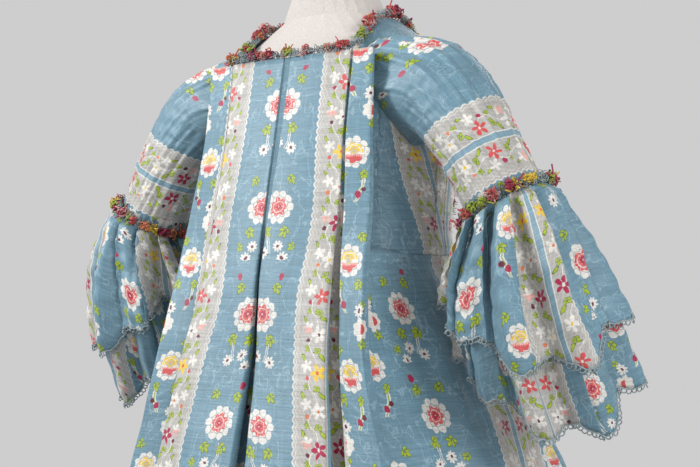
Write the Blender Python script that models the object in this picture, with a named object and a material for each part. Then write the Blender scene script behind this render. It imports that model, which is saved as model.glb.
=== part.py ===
"""A sack-back gown of brocaded silk on a limbless dress form.

Metres, +Z up. The origin is the middle of the stand's underside. The gown's front faces -Y and its pleated
back faces +Y; the wearer's right side is -X. Every cloth piece is a thin wall made from a grid of points.
Each side piece is worked out for the wearer's left (+X) and mirrored for the right.
"""

from collections import namedtuple
from math import asin, cos, degrees, exp, pi, radians, sin, sqrt

import bmesh
import bpy
from mathutils import Vector

# Walls and clearances
CLOTH = 0.0016
SEAM_GAP = 0.0005
LINING_GAP = 0.004

# Levels
HEM_Z = 0.012
WAIST_Z = 1.035
BODICE_TOP_Z = 1.287
NECKLINE_Z = 1.305
FRONT_NECK_Z = 1.215
NECK_TOP_Z = 1.450

# Dress form: half width, front and back of the torso at each height, and how square the section is
TorsoRow = namedtuple("TorsoRow", "z half_width front_y back_y square")
TORSO = (
    TorsoRow(0.840, 0.138, -0.120, 0.075, 2.2),
    TorsoRow(0.900, 0.152, -0.140, 0.082, 2.2),
    TorsoRow(0.970, 0.152, -0.150, 0.080, 2.3),
    TorsoRow(WAIST_Z, 0.142, -0.152, 0.076, 2.4),
    TorsoRow(1.100, 0.146, -0.158, 0.083, 2.4),
    TorsoRow(1.180, 0.154, -0.156, 0.092, 2.6),
    TorsoRow(1.240, 0.162, -0.138, 0.098, 3.0),
    TorsoRow(1.290, 0.166, -0.108, 0.097, 3.0),
    TorsoRow(1.320, 0.158, -0.084, 0.085, 2.7),
    TorsoRow(1.345, 0.125, -0.070, 0.070, 2.4),
    TorsoRow(1.375, 0.084, -0.062, 0.055, 2.1),
    TorsoRow(1.410, 0.065, -0.066, 0.058, 2.0),
    TorsoRow(NECK_TOP_Z, 0.062, -0.066, 0.060, 2.0),
)
TORSO_SIDES = 28
CAP_RADIUS = 0.050
CAP_HEIGHT = 0.014
POLE_RADIUS = 0.016
BASE_RADIUS = 0.210
BASE_HEIGHT = 0.018
BASE_RIM = 0.004
ROUND_SIDES = 32

# Sack back: the outer face of the pleated block, and how far apart its layers lie
SackRow = namedtuple("SackRow", "z centre_y edge_y half_width layer_edge slit_left slit_right depth")
SACK = (
    SackRow(NECKLINE_Z, 0.118, 0.112, 0.140, 0.109, 0.0012, 0.0110, 0.0042),
    SackRow(1.200, 0.138, 0.123, 0.143, 0.107, 0.0015, 0.0110, 0.0052),
    SackRow(1.100, 0.159, 0.141, 0.153, 0.116, 0.0018, 0.0075, 0.0064),
    SackRow(1.000, 0.178, 0.166, 0.160, 0.121, 0.0022, 0.0035, 0.0080),
    SackRow(0.900, 0.188, 0.187, 0.174, 0.126, 0.0035, 0.0045, 0.0100),
    SackRow(0.770, 0.213, 0.196, 0.207, 0.139, 0.0070, 0.0070, 0.0125),
    SackRow(0.550, 0.262, 0.222, 0.262, 0.172, 0.0100, 0.0100, 0.0170),
    SackRow(0.300, 0.330, 0.260, 0.322, 0.214, 0.0140, 0.0140, 0.0220),
    SackRow(HEM_Z, 0.425, 0.312, 0.390, 0.262, 0.0200, 0.0200, 0.0280),
)
UNDER_LAP = 0.028
SEAM_HALF = 0.0004

# Skirt: the ring that the cloth hangs on below the waist
SkirtRow = namedtuple("SkirtRow", "z half_width front_y back_y fold")
SKIRT = (
    SkirtRow(WAIST_Z - SEAM_GAP, 0.1488, -0.1588, 0.0828, 0.0000),
    SkirtRow(1.005, 0.166, -0.172, 0.098, 0.0010),
    SkirtRow(0.960, 0.184, -0.196, 0.120, 0.0020),
    SkirtRow(0.890, 0.212, -0.250, 0.148, 0.0035),
    SkirtRow(0.790, 0.258, -0.325, 0.166, 0.0050),
    SkirtRow(0.650, 0.312, -0.380, 0.196, 0.0080),
    SkirtRow(0.350, 0.385, -0.440, 0.256, 0.0120),
    SkirtRow(HEM_Z, 0.450, -0.485, 0.330, 0.0160),
)
SKIRT_SQUARE = 2.2
SKIRT_COLUMNS = 22
SKIRT_START = 40.0
SKIRT_FOLDS = 5
OPENING_TOP = 0.004
OPENING_HEM = 0.080
JOIN_COLUMNS = 4

# Bodice and shoulder
SIDE_SEAM = 96.0
BACK_START = 14.0
ARMHOLE_Y, ARMHOLE_Z = 0.030, 1.255
ARMHOLE_HALF_Y, ARMHOLE_HALF_Z = 0.058, 0.076
STRAP_INNER, STRAP_OUTER = 0.102, 0.148
ROBING_TOP_X, ROBING_WAIST_X = 0.122, 0.086
ROBING_WIDTH = 0.034

# Sleeve: a bent centre line from the armhole to the elbow, and the sleeve's radius along it
SLEEVE_LINE = (
    Vector((0.160, 0.030, 1.255)),
    Vector((0.222, 0.044, 1.262)),
    Vector((0.260, 0.058, 1.184)),
    Vector((0.311, 0.054, 1.088)),
)
SleeveRow = namedtuple("SleeveRow", "along radius")
SLEEVE = (
    SleeveRow(0.00, 0.070),
    SleeveRow(0.25, 0.066),
    SleeveRow(0.50, 0.058),
    SleeveRow(0.75, 0.053),
    SleeveRow(1.00, 0.051),
)
SLEEVE_SIDES = 18
SLEEVE_RINGS = 7

# Flounces: two tiers that spring out of the elbow and hang as a bell, cut short over the bend of the arm
Tier = namedtuple("Tier", "start radius short long fullness")
UPPER_TIER = Tier(-0.006, 0.0570, 0.085, 0.220, 1.04)
LOWER_TIER = Tier(0.0015, 0.0500, 0.145, 0.300, 0.84)
BELL_WIDTH, BELL_REACH = 0.072, 0.100
DRIFT_STEADY, DRIFT_GROWING = 0.16, 0.85
SHORT_AT = 125.0
INNER_PRESS = 0.18
FLOUNCE_FOLDS = 9
FOLD_DEPTH = 0.012
LOBE_DROP = 0.014
FLOUNCE_COLUMNS = 36
FLOUNCE_ROWS = 4
EDGING_HALF = 0.0022
EDGING_GAP = 0.0006

# Trimmings
TRIM_SIDES = 6
NECK_TRIM_RADIUS = 0.0055
FRONT_TRIM_RADIUS = 0.0035
CUFF_TRIM_RADIUS = 0.0065

# Colour, roughness and metallic of each material
Look = namedtuple("Look", "colour roughness metallic")
LOOKS = {
    "silk": Look((0.212, 0.381, 0.521), 0.45, 0.0),
    "trim": Look((0.52, 0.30, 0.25), 0.80, 0.0),
    "braid": Look((0.60, 0.64, 0.66), 0.75, 0.0),
    "form": Look((0.80, 0.79, 0.77), 0.60, 0.0),
    "steel": Look((0.42, 0.43, 0.44), 0.35, 1.0),
}


def clear_scene():
    for thing in list(bpy.data.objects):
        bpy.data.objects.remove(thing, do_unlink=True)


def material(name):
    """The Principled material of that name, made once."""
    found = bpy.data.materials.get(name)
    if found:
        return found
    look = LOOKS[name]
    made = bpy.data.materials.new(name)
    made.use_nodes = True
    shader = made.node_tree.nodes["Principled BSDF"]
    shader.inputs["Base Color"].default_value = (*look.colour, 1.0)
    shader.inputs["Roughness"].default_value = look.roughness
    shader.inputs["Metallic"].default_value = look.metallic
    return made


def add_object(name, slot, verts, faces, smooth_angle=radians(50)):
    """One closed mesh object, its faces turned outwards."""
    mesh = bpy.data.meshes.new(name)
    mesh.from_pydata([tuple(v) for v in verts], [], faces)
    work = bmesh.new()
    work.from_mesh(mesh)
    bmesh.ops.recalc_face_normals(work, faces=work.faces)
    bmesh.ops.triangulate(work, faces=work.faces)
    if work.calc_volume(signed=True) < 0:
        bmesh.ops.reverse_faces(work, faces=work.faces)
    work.to_mesh(mesh)
    work.free()
    mesh.shade_smooth()
    mesh.set_sharp_from_angle(angle=smooth_angle)
    mesh.materials.append(material(slot))
    thing = bpy.data.objects.new(name, mesh)
    bpy.context.scene.collection.objects.link(thing)
    return thing


def table_row(table, at):
    """The table's row at a height or share, straight between its neighbours."""
    rows = sorted(table, key=lambda row: row[0])
    if at <= rows[0][0]:
        return rows[0]
    for low, high in zip(rows, rows[1:]):
        if at <= high[0]:
            share = (at - low[0]) / (high[0] - low[0])
            return type(low)(*(a + (b - a) * share for a, b in zip(low, high)))
    return rows[-1]


def smooth_step(share):
    share = min(1.0, max(0.0, share))
    return share * share * (3 - 2 * share)


def power(value, exponent):
    """A power that keeps the value's sign."""
    return abs(value) ** exponent * (1 if value >= 0 else -1)


def ring_point(half_width, front_y, back_y, square, angle, z):
    """A point of a rounded ring. The angle runs from the middle of the back, 0, to the middle of the front, 180."""
    middle, half_depth = (front_y + back_y) / 2, (back_y - front_y) / 2
    turn = radians(angle)
    x = half_width * power(sin(turn), 2 / square)
    y = middle + half_depth * power(cos(turn), 2 / square)
    return Vector((x, y, z))


def body_point(angle, z, out):
    """A point at a distance outside the dress form's torso."""
    row = table_row(TORSO, z)
    return ring_point(row.half_width + out, row.front_y - out, row.back_y + out, row.square, angle, z)


def body_at_x(x, z, out, front):
    """The point outside the torso at a given x, on the front or the back."""
    row = table_row(TORSO, z)
    middle = (row.front_y + row.back_y) / 2
    half_depth = (row.back_y - row.front_y) / 2 + out
    share = min(1.0, abs(x) / (row.half_width + out))
    reach = half_depth * (1 - share**row.square) ** (1 / row.square)
    return Vector((x, middle - reach if front else middle + reach, z))


def body_at_y(y, z, out):
    """The point outside the torso's left side at a given y."""
    row = table_row(TORSO, z)
    middle = (row.front_y + row.back_y) / 2
    half_depth = (row.back_y - row.front_y) / 2 + out
    share = min(1.0, abs(y - middle) / half_depth)
    return Vector(((row.half_width + out) * (1 - share**row.square) ** (1 / row.square), y, z))


def grid_normals(grid, closed):
    """A unit normal at each point of a grid of rows, from its neighbours along and across."""
    rows, columns = len(grid), len(grid[0])
    normals = []
    for j in range(rows):
        line = []
        for i in range(columns):
            left = grid[j][(i - 1) % columns] if closed or i else grid[j][0]
            right = grid[j][(i + 1) % columns] if closed or i < columns - 1 else grid[j][i]
            below, above = grid[max(j - 1, 0)][i], grid[min(j + 1, rows - 1)][i]
            line.append((right - left).cross(above - below).normalized())
        normals.append(line)
    return normals


def shell(name, slot, grid, closed=False, thickness=CLOTH):
    """A wall from a grid of points on its face. Its thickness is laid against the grid's normals."""
    rows, columns = len(grid), len(grid[0])
    normals = grid_normals(grid, closed)
    face = [p for row in grid for p in row]
    back = [p - n * thickness for row, line in zip(grid, normals) for p, n in zip(row, line)]
    other = rows * columns
    faces = []
    last = columns if closed else columns - 1
    for j in range(rows - 1):
        for i in range(last):
            a, b = j * columns + i, j * columns + (i + 1) % columns
            c, d = b + columns, a + columns
            faces.append((a, b, c, d))
            faces.append((other + d, other + c, other + b, other + a))
    for i in range(last):
        a, b = i, (i + 1) % columns
        faces.append((b, a, other + a, other + b))
        c, d = a + (rows - 1) * columns, b + (rows - 1) * columns
        faces.append((c, d, other + d, other + c))
    if not closed:
        for j in range(rows - 1):
            a, b = j * columns, (j + 1) * columns
            faces.append((a, b, other + b, other + a))
            c, d = a + columns - 1, b + columns - 1
            faces.append((d, c, other + c, other + d))
    return add_object(name, slot, face + back, faces)


def mirrored(grid):
    """The same grid on the wearer's right, its columns turned round so that it still faces out."""
    return [[Vector((-p.x, p.y, p.z)) for p in reversed(row)] for row in grid]


def both_sides(stem, slot, grid, closed=False):
    shell(stem + "_left", slot, grid, closed)
    shell(stem + "_right", slot, mirrored(grid), closed)


def tube(name, slot, path, radius, closed=False, sides=TRIM_SIDES):
    """A round cord along a path of points."""
    count = len(path)
    verts, faces = [], []
    for k, point in enumerate(path):
        before = path[(k - 1) % count] if closed or k else path[0]
        after = path[(k + 1) % count] if closed or k < count - 1 else path[k]
        along = (after - before).normalized()
        side = along.cross(Vector((0, 0, 1)))
        side = side.normalized() if side.length > 1e-4 else Vector((1, 0, 0))
        over = side.cross(along)
        for m in range(sides):
            turn = 2 * pi * m / sides
            verts.append(point + side * radius * cos(turn) + over * radius * sin(turn))
    for k in range(count if closed else count - 1):
        for m in range(sides):
            a, b = k * sides + m, k * sides + (m + 1) % sides
            c, d = ((k + 1) % count) * sides + (m + 1) % sides, ((k + 1) % count) * sides + m
            faces.append((a, b, c, d))
    if not closed:
        faces.append(tuple(reversed(range(sides))))
        faces.append(tuple((count - 1) * sides + m for m in range(sides)))
    return add_object(name, slot, verts, faces)


def turned(name, slot, profile, sides=ROUND_SIDES, smooth_angle=radians(40)):
    """A solid of revolution round the Z axis. The profile runs up from the axis and back to it."""
    verts, faces = [], []
    for radius, z in profile:
        for m in range(sides):
            turn = 2 * pi * m / sides
            verts.append((radius * cos(turn), radius * sin(turn), z))
    for k in range(len(profile) - 1):
        for m in range(sides):
            a, b = k * sides + m, k * sides + (m + 1) % sides
            faces.append((a, b, b + sides, a + sides))
    faces.append(tuple(reversed(range(sides))))
    faces.append(tuple((len(profile) - 1) * sides + m for m in range(sides)))
    return add_object(name, slot, verts, faces, smooth_angle)


# Dress form


def make_torso():
    verts, faces = [], []
    for row in TORSO:
        for m in range(TORSO_SIDES):
            angle = 360.0 * m / TORSO_SIDES
            verts.append(ring_point(row.half_width, row.front_y, row.back_y, row.square, angle, row.z))
    for k in range(len(TORSO) - 1):
        for m in range(TORSO_SIDES):
            a, b = k * TORSO_SIDES + m, k * TORSO_SIDES + (m + 1) % TORSO_SIDES
            faces.append((a, b, b + TORSO_SIDES, a + TORSO_SIDES))
    faces.append(tuple(reversed(range(TORSO_SIDES))))
    top = (len(TORSO) - 1) * TORSO_SIDES
    faces.append(tuple(top + m for m in range(TORSO_SIDES)))
    add_object("form_torso", "form", verts, faces)


def make_stand():
    cap_z = NECK_TOP_Z + SEAM_GAP
    turned("form_cap", "form", ((CAP_RADIUS, cap_z), (CAP_RADIUS, cap_z + CAP_HEIGHT - BASE_RIM),
                                (CAP_RADIUS - BASE_RIM, cap_z + CAP_HEIGHT)))
    turned("form_pole", "steel", ((POLE_RADIUS, BASE_HEIGHT + SEAM_GAP), (POLE_RADIUS, TORSO[0].z - SEAM_GAP)))
    turned("form_base", "steel", ((BASE_RADIUS, 0.0), (BASE_RADIUS, BASE_HEIGHT - BASE_RIM),
                                  (BASE_RADIUS - BASE_RIM, BASE_HEIGHT)))


# Sack back


def sack_y(row, x):
    """The block's outer face, nearly flat and bowed towards its edges."""
    return row.centre_y + (row.edge_y - row.centre_y) * (x / row.half_width) ** 2


def sack_section(row, slit):
    """The folded cloth at one height, from the centre seam out: the double box pleat's layers as x and depth."""
    lap = UNDER_LAP
    deep = row.depth
    layer, edge = row.layer_edge, row.half_width
    return (
        (SEAM_HALF, 2 * deep),
        (slit + lap, 2 * deep),
        (slit + lap, deep),
        (slit, deep),
        (slit, 0.0),
        ((slit + layer) / 2, 0.0),
        (layer, 0.0),
        (layer, deep),
        (layer - lap, deep),
        (layer - lap, 2 * deep),
        (layer, 1.7 * deep),
        (edge, 0.3 * deep),
        (edge, 1.8 * deep),
        (edge - lap, 3.0 * deep),
    )


def make_sack_back():
    for side, slit_name in ((1, "slit_left"), (-1, "slit_right")):
        grid = []
        for row in reversed(SACK):
            section = sack_section(row, getattr(row, slit_name))
            grid.append([Vector((x, sack_y(row, x) - depth, row.z)) for x, depth in reversed(section)])
        if side > 0:
            shell("sack_back_left", "silk", grid)
        else:
            shell("sack_back_right", "silk", mirrored(grid))


# Skirt


def skirt_point(column, row):
    """A point of the skirt, from behind the block's edge round the hip to the front opening."""
    share = column / (SKIRT_COLUMNS - 1)
    opening = OPENING_TOP + (OPENING_HEM - OPENING_TOP) * (WAIST_Z - row.z) / WAIST_Z
    end = 180 - degrees(asin(min(1.0, (opening / row.half_width) ** (SKIRT_SQUARE / 2))))
    angle = SKIRT_START + (end - SKIRT_START) * share
    fold = row.fold * (sin(2 * pi * SKIRT_FOLDS * share) + 0.4 * sin(2 * pi * 2.3 * SKIRT_FOLDS * share))
    point = ring_point(row.half_width + fold, row.front_y - fold, row.back_y + fold, SKIRT_SQUARE, angle, row.z)
    block = table_row(SACK, row.z)
    x = block.half_width - 0.8 * UNDER_LAP
    joined = Vector((x, sack_y(block, x) - 3.0 * block.depth - 2 * CLOTH - 0.002, row.z))
    return joined.lerp(point, smooth_step(column / JOIN_COLUMNS))


def make_skirt():
    grid = [[skirt_point(column, row) for column in reversed(range(SKIRT_COLUMNS))] for row in reversed(SKIRT)]
    both_sides("skirt", "silk", grid)


# Bodice


def armhole_floor(y):
    """The armhole's lower edge at a given y, or the bodice's top away from it."""
    share = (y - ARMHOLE_Y) / ARMHOLE_HALF_Y
    if abs(share) >= 1:
        return BODICE_TOP_Z - SEAM_GAP
    return ARMHOLE_Z - ARMHOLE_HALF_Z * sqrt(1 - share * share)


def bodice_grid(start, end, columns, rows, top_of):
    grid = []
    for j in range(rows):
        line = []
        for i in reversed(range(columns)):
            angle = start + (end - start) * i / (columns - 1)
            top = top_of(angle)
            z = WAIST_Z + (top - WAIST_Z) * j / (rows - 1)
            line.append(body_point(angle, z, LINING_GAP + CLOTH))
        grid.append(line)
    return grid


def back_top(angle):
    return armhole_floor(body_point(angle, ARMHOLE_Z - ARMHOLE_HALF_Z / 2, LINING_GAP).y)


def front_top(angle):
    """The armhole, then the strap's foot, then the low front neckline."""
    where = body_point(angle, ARMHOLE_Z - ARMHOLE_HALF_Z / 2, LINING_GAP)
    low = smooth_step((STRAP_INNER - 0.004 - where.x) / 0.02)
    high = armhole_floor(where.y)
    return high + (FRONT_NECK_Z - high) * low if low > 0 else high


def make_bodice():
    both_sides("bodice_back", "silk", bodice_grid(BACK_START, SIDE_SEAM - 0.2, 10, 8, back_top))
    both_sides("bodice_front", "silk", bodice_grid(SIDE_SEAM + 0.2, 179.6, 11, 8, front_top))


def strap_point(x, way, out):
    """A point of the band over the shoulder. The way runs from 1 at the back foot to -1 at the front foot."""
    foot = BODICE_TOP_Z + 2 * SEAM_GAP
    low, high = foot, NECK_TOP_Z
    for _ in range(40):
        z = (low + high) / 2
        if table_row(TORSO, z).half_width + out > x:
            low = z
        else:
            high = z
    z = low - (low - foot) * way * way
    point = body_at_x(x, z, out, front=way < 0)
    return point + Vector((0, 0, 0.4 * out * (1 - abs(way))))


def make_shoulder_straps():
    out = LINING_GAP + CLOTH
    grid = []
    for j in range(5):
        x = STRAP_OUTER + (STRAP_INNER - STRAP_OUTER) * j / 4
        grid.append([strap_point(x, 1 - 2 * k / 10, out) for k in reversed(range(11))])
    both_sides("shoulder_strap", "silk", grid)


def robing_x(z):
    share = (z - WAIST_Z) / (BODICE_TOP_Z - WAIST_Z)
    return ROBING_WAIST_X + (ROBING_TOP_X - ROBING_WAIST_X) * share


def make_robings():
    out = LINING_GAP + 2 * CLOTH + SEAM_GAP + 0.001
    grid = []
    for j in range(11):
        z = WAIST_Z + (BODICE_TOP_Z - WAIST_Z) * j / 10
        middle = robing_x(z)
        grid.append([body_at_x(middle + ROBING_WIDTH * k, z, out, front=True) for k in (-0.5, 0.0, 0.5)])
    both_sides("robing", "silk", grid)


# Sleeve


def sleeve_centre(along):
    a, b, c, d = SLEEVE_LINE
    rest = 1 - along
    return a * rest**3 + b * 3 * rest**2 * along + c * 3 * rest * along**2 + d * along**3


def sleeve_frame(along):
    """The centre line's point, its direction, and the two directions across it: outward and forward."""
    a, b, c, d = SLEEVE_LINE
    rest = 1 - along
    run = ((b - a) * rest**2 + (c - b) * 2 * rest * along + (d - c) * along**2).normalized()
    outward = (Vector((0, 0, 1)) - run * run.z).normalized()
    return sleeve_centre(along), run, outward, run.cross(outward)


def armhole_ring(turn):
    """The sleeve's top edge, laid on the bodice round the armhole."""
    y = ARMHOLE_Y - (ARMHOLE_HALF_Y - 0.003) * sin(turn)
    z = ARMHOLE_Z + (ARMHOLE_HALF_Z - 0.003) * cos(turn)
    return body_at_y(y, z, LINING_GAP + 2 * CLOTH + SEAM_GAP + 0.003)


def sleeve_point(turn, along):
    centre, run, outward, forward = sleeve_frame(along)
    radius = table_row(SLEEVE, along).radius
    free = centre + outward * radius * cos(turn) + forward * radius * sin(turn)
    return armhole_ring(turn).lerp(free, smooth_step(along / 0.22))


def make_sleeves():
    grid = []
    for j in range(SLEEVE_RINGS):
        along = (j / (SLEEVE_RINGS - 1)) ** 1.15
        grid.append([sleeve_point(2 * pi * k / SLEEVE_SIDES, along) for k in range(SLEEVE_SIDES)])
    both_sides("sleeve", "silk", grid, closed=True)


# Flounces


def bell(run):
    """How far out and how far down cloth of a given length hangs from the elbow."""
    out = BELL_WIDTH * (1 - exp(-run / BELL_REACH))
    steps = 12
    down = 0.0
    for k in range(steps):
        slope = BELL_WIDTH / BELL_REACH * exp(-run * (k + 0.5) / steps / BELL_REACH)
        down += run / steps * sqrt(1 - slope * slope)
    return out, down


def flounce_length(tier, turn):
    share = (1 - cos(turn - radians(SHORT_AT))) / 2
    lobe = LOBE_DROP * cos(turn * FLOUNCE_FOLDS)
    return tier.short + (tier.long - tier.short) * share + lobe


def flounce_point(tier, turn, share):
    centre, run, outward, forward = sleeve_frame(1.0)
    across = outward * cos(turn) + forward * sin(turn)
    start = centre + run * tier.start + across * tier.radius
    level = Vector((across.x, across.y, 0)).normalized()
    full = tier.fullness * (1 - INNER_PRESS * max(0.0, -level.x))
    length = flounce_length(tier, turn) * share
    out, down = bell(length)
    fold = FOLD_DEPTH * smooth_step(length / 0.10) * cos(turn * FLOUNCE_FOLDS)
    drift = DRIFT_STEADY * length + DRIFT_GROWING * length**2
    return start + level * (out * full + fold) + Vector((0.1 * drift, -drift, -down))


def flounce_grid(tier, rows):
    turns = [2 * pi * k / FLOUNCE_COLUMNS for k in range(FLOUNCE_COLUMNS)]
    return [[flounce_point(tier, turn, j / (rows - 1)) for turn in turns] for j in range(rows)]


def edging(name, grid):
    """A braid under the flounce's hem: a square-edged ring that follows the cut edge."""
    hem, above = grid[-1], grid[-2]
    count = len(hem)
    verts, faces = [], []
    for k, point in enumerate(hem):
        down = (point - above[k]).normalized()
        along = (hem[(k + 1) % count] - hem[k - 1]).normalized()
        down = (down - along * down.dot(along)).normalized()
        through = down.cross(along)
        top = point + down * EDGING_GAP - through * CLOTH / 2
        low = top + down * 2 * EDGING_HALF
        half = through * CLOTH
        verts += [top + half, low + half, low - half, top - half]
    for k in range(count):
        for m in range(4):
            a, b = 4 * k + m, 4 * k + (m + 1) % 4
            c, d = 4 * ((k + 1) % count) + (m + 1) % 4, 4 * ((k + 1) % count) + m
            faces.append((a, b, c, d))
    add_object(name, "braid", verts, faces)


def make_flounces():
    for stem, tier in (("upper", UPPER_TIER), ("lower", LOWER_TIER)):
        grid = flounce_grid(tier, FLOUNCE_ROWS)
        both_sides("flounce_" + stem, "silk", grid, closed=True)
        edging("edging_" + stem + "_left", grid)
        edging("edging_" + stem + "_right", mirrored(grid))


# Trimmings


def make_cuff_trims():
    centre, run, outward, forward = sleeve_frame(1.0)
    reach = SLEEVE[-1].radius + CUFF_TRIM_RADIUS + 0.0018
    middle = centre + run * (UPPER_TIER.start - CUFF_TRIM_RADIUS - 0.001)
    path = []
    for k in range(20):
        turn = 2 * pi * k / 20
        path.append(middle + outward * reach * cos(turn) + forward * reach * sin(turn))
    tube("cuff_trim_left", "trim", path, CUFF_TRIM_RADIUS, closed=True)
    tube("cuff_trim_right", "trim", [Vector((-p.x, p.y, p.z)) for p in path], CUFF_TRIM_RADIUS, closed=True)


def neck_path():
    """From the front foot of the left strap over the shoulder and along the back neckline to the right one."""
    out = LINING_GAP + CLOTH + NECK_TRIM_RADIUS + 0.002
    left = [strap_point(STRAP_INNER, -0.85 + 0.2 * k, out) for k in range(9)]
    row = table_row(SACK, NECKLINE_Z)
    back_z = NECKLINE_Z + NECK_TRIM_RADIUS + 0.0015
    corner = [Vector((x, sack_y(row, x) - row.depth, back_z)) for x in (0.105, 0.07, 0.035)]
    half = left + corner
    middle = Vector((0, row.centre_y - row.depth, back_z))
    return half + [middle] + [Vector((-p.x, p.y, p.z)) for p in reversed(half)]


def make_neck_and_front_trims():
    tube("neck_trim", "trim", neck_path(), NECK_TRIM_RADIUS)
    out = LINING_GAP + 2 * CLOTH + 0.0015 + FRONT_TRIM_RADIUS + 0.003
    path = []
    for j in range(11):
        z = BODICE_TOP_Z - 0.012 - (BODICE_TOP_Z - 0.012 - WAIST_Z) * j / 10
        path.append(body_at_x(robing_x(z) + ROBING_WIDTH / 2, z, out, front=True))
    tube("front_trim_left", "trim", path, FRONT_TRIM_RADIUS)
    tube("front_trim_right", "trim", [Vector((-p.x, p.y, p.z)) for p in path], FRONT_TRIM_RADIUS)


def main():
    clear_scene()
    make_torso()
    make_stand()
    make_sack_back()
    make_skirt()
    make_bodice()
    make_shoulder_straps()
    make_robings()
    make_sleeves()
    make_flounces()
    make_cuff_trims()
    make_neck_and_front_trims()


main()
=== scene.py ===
"""A sack-back gown of brocaded silk on a dress form: the fine cloth, its woven flowers, fringes and braid.

Run it as a script. Its classes are laid out like an add-on's: sizes and colours are properties, and each
group of pieces has its own operator. Metres, +Z up; the gown's front faces -Y and the wearer's left is +X.
Cloth is worked out for the wearer's left side as grids of points and mirrored for the right.
"""

import random
from collections import namedtuple
from math import cos, pi, radians, sin

import bmesh
import bpy
import numpy as np
from bpy.props import FloatProperty, FloatVectorProperty, IntProperty, PointerProperty
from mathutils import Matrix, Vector


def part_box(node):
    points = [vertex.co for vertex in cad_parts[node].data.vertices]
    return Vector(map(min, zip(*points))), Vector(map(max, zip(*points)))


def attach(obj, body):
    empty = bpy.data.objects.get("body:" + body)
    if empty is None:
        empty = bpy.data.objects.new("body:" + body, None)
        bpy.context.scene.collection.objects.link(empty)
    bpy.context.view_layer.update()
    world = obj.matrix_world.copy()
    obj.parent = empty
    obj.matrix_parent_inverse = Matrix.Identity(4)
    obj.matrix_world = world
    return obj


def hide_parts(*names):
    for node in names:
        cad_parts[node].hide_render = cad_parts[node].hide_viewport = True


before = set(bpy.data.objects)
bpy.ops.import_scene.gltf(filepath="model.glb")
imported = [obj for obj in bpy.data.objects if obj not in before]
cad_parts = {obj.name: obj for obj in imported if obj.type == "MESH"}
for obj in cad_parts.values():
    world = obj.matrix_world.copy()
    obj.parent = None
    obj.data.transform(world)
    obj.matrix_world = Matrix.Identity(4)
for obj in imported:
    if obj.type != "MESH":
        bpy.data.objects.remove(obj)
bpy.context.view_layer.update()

bl_info = {
    "name": "Sack-back gown",
    "version": (1, 0, 0),
    "blender": (4, 5, 0),
    "location": "3D View > Sidebar > Gown",
    "description": "Builds the gown's cloth, its brocade, fringes and braid over the frame",
    "category": "Object",
}

# Levels, read from the frame
HEM_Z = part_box("skirt_left")[0][2]
WAIST_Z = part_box("bodice_front_left")[0][2]
BODICE_TOP_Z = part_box("bodice_front_left")[1][2] + 0.0005
NECKLINE_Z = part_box("sack_back_left")[1][2]
NECK_TOP_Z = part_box("form_torso")[1][2]
FRONT_NECK_Z = 1.215
LINING = 0.0056

# The form under the cloth: half width, front and back at each height, and how square the section is
FormRow = namedtuple("FormRow", "z half_width front_y back_y square")
FORM = (
    FormRow(0.840, 0.138, -0.120, 0.075, 2.2),
    FormRow(0.900, 0.152, -0.140, 0.082, 2.2),
    FormRow(0.970, 0.152, -0.150, 0.080, 2.3),
    FormRow(WAIST_Z, 0.142, -0.152, 0.076, 2.4),
    FormRow(1.100, 0.146, -0.158, 0.083, 2.4),
    FormRow(1.180, 0.154, -0.156, 0.092, 2.6),
    FormRow(1.240, 0.162, -0.138, 0.098, 3.0),
    FormRow(1.290, 0.166, -0.108, 0.097, 3.0),
    FormRow(1.320, 0.158, -0.084, 0.085, 2.7),
    FormRow(1.345, 0.125, -0.070, 0.070, 2.4),
    FormRow(1.375, 0.084, -0.062, 0.055, 2.1),
    FormRow(1.410, 0.065, -0.066, 0.058, 2.0),
    FormRow(NECK_TOP_Z, 0.062, -0.066, 0.060, 2.0),
)

# The pleated block. Blue is the width from the middle to the lace line.
# Gap is how far the under pleat stands off.
SackRow = namedtuple(
    "SackRow",
    "z middle_y edge_y half_width slit_left slit_right deep blue_left blue_right gap_left gap_right",
)
SACK = (
    SackRow(HEM_Z, 0.425, 0.312, 0.390, 0.0300, 0.0300, 0.0300, 0.205, 0.205, 0.012, 0.024),
    SackRow(0.300, 0.330, 0.260, 0.322, 0.0240, 0.0240, 0.0240, 0.165, 0.162, 0.009, 0.022),
    SackRow(0.550, 0.262, 0.222, 0.262, 0.0180, 0.0180, 0.0190, 0.128, 0.120, 0.006, 0.019),
    SackRow(0.770, 0.213, 0.196, 0.207, 0.0130, 0.0110, 0.0150, 0.101, 0.086, 0.004, 0.015),
    SackRow(0.900, 0.188, 0.187, 0.174, 0.0070, 0.0080, 0.0120, 0.077, 0.070, 0.002, 0.012),
    SackRow(1.000, 0.178, 0.166, 0.160, 0.0026, 0.0050, 0.0095, 0.053, 0.067, 0.001, 0.007),
    SackRow(1.100, 0.159, 0.141, 0.153, 0.0018, 0.0075, 0.0074, 0.049, 0.066, 0.001, 0.003),
    SackRow(1.200, 0.138, 0.123, 0.143, 0.0015, 0.0110, 0.0060, 0.047, 0.060, 0.001, 0.001),
    SackRow(NECKLINE_Z, 0.118, 0.112, 0.140, 0.0012, 0.0110, 0.0046, 0.048, 0.062, 0.001, 0.001),
)
UNDER_LAP = 0.028
FOLD_RADIUS = 0.0022
# How many steps divide each straight run of the folded section, and the first column of the hidden under-lap
SECTION_STEPS = (3, 2, 3, 2, 14, 14, 2, 3, 2, 4, 3, 12, 2, 4)
UNDER_COLUMN = 78

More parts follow.
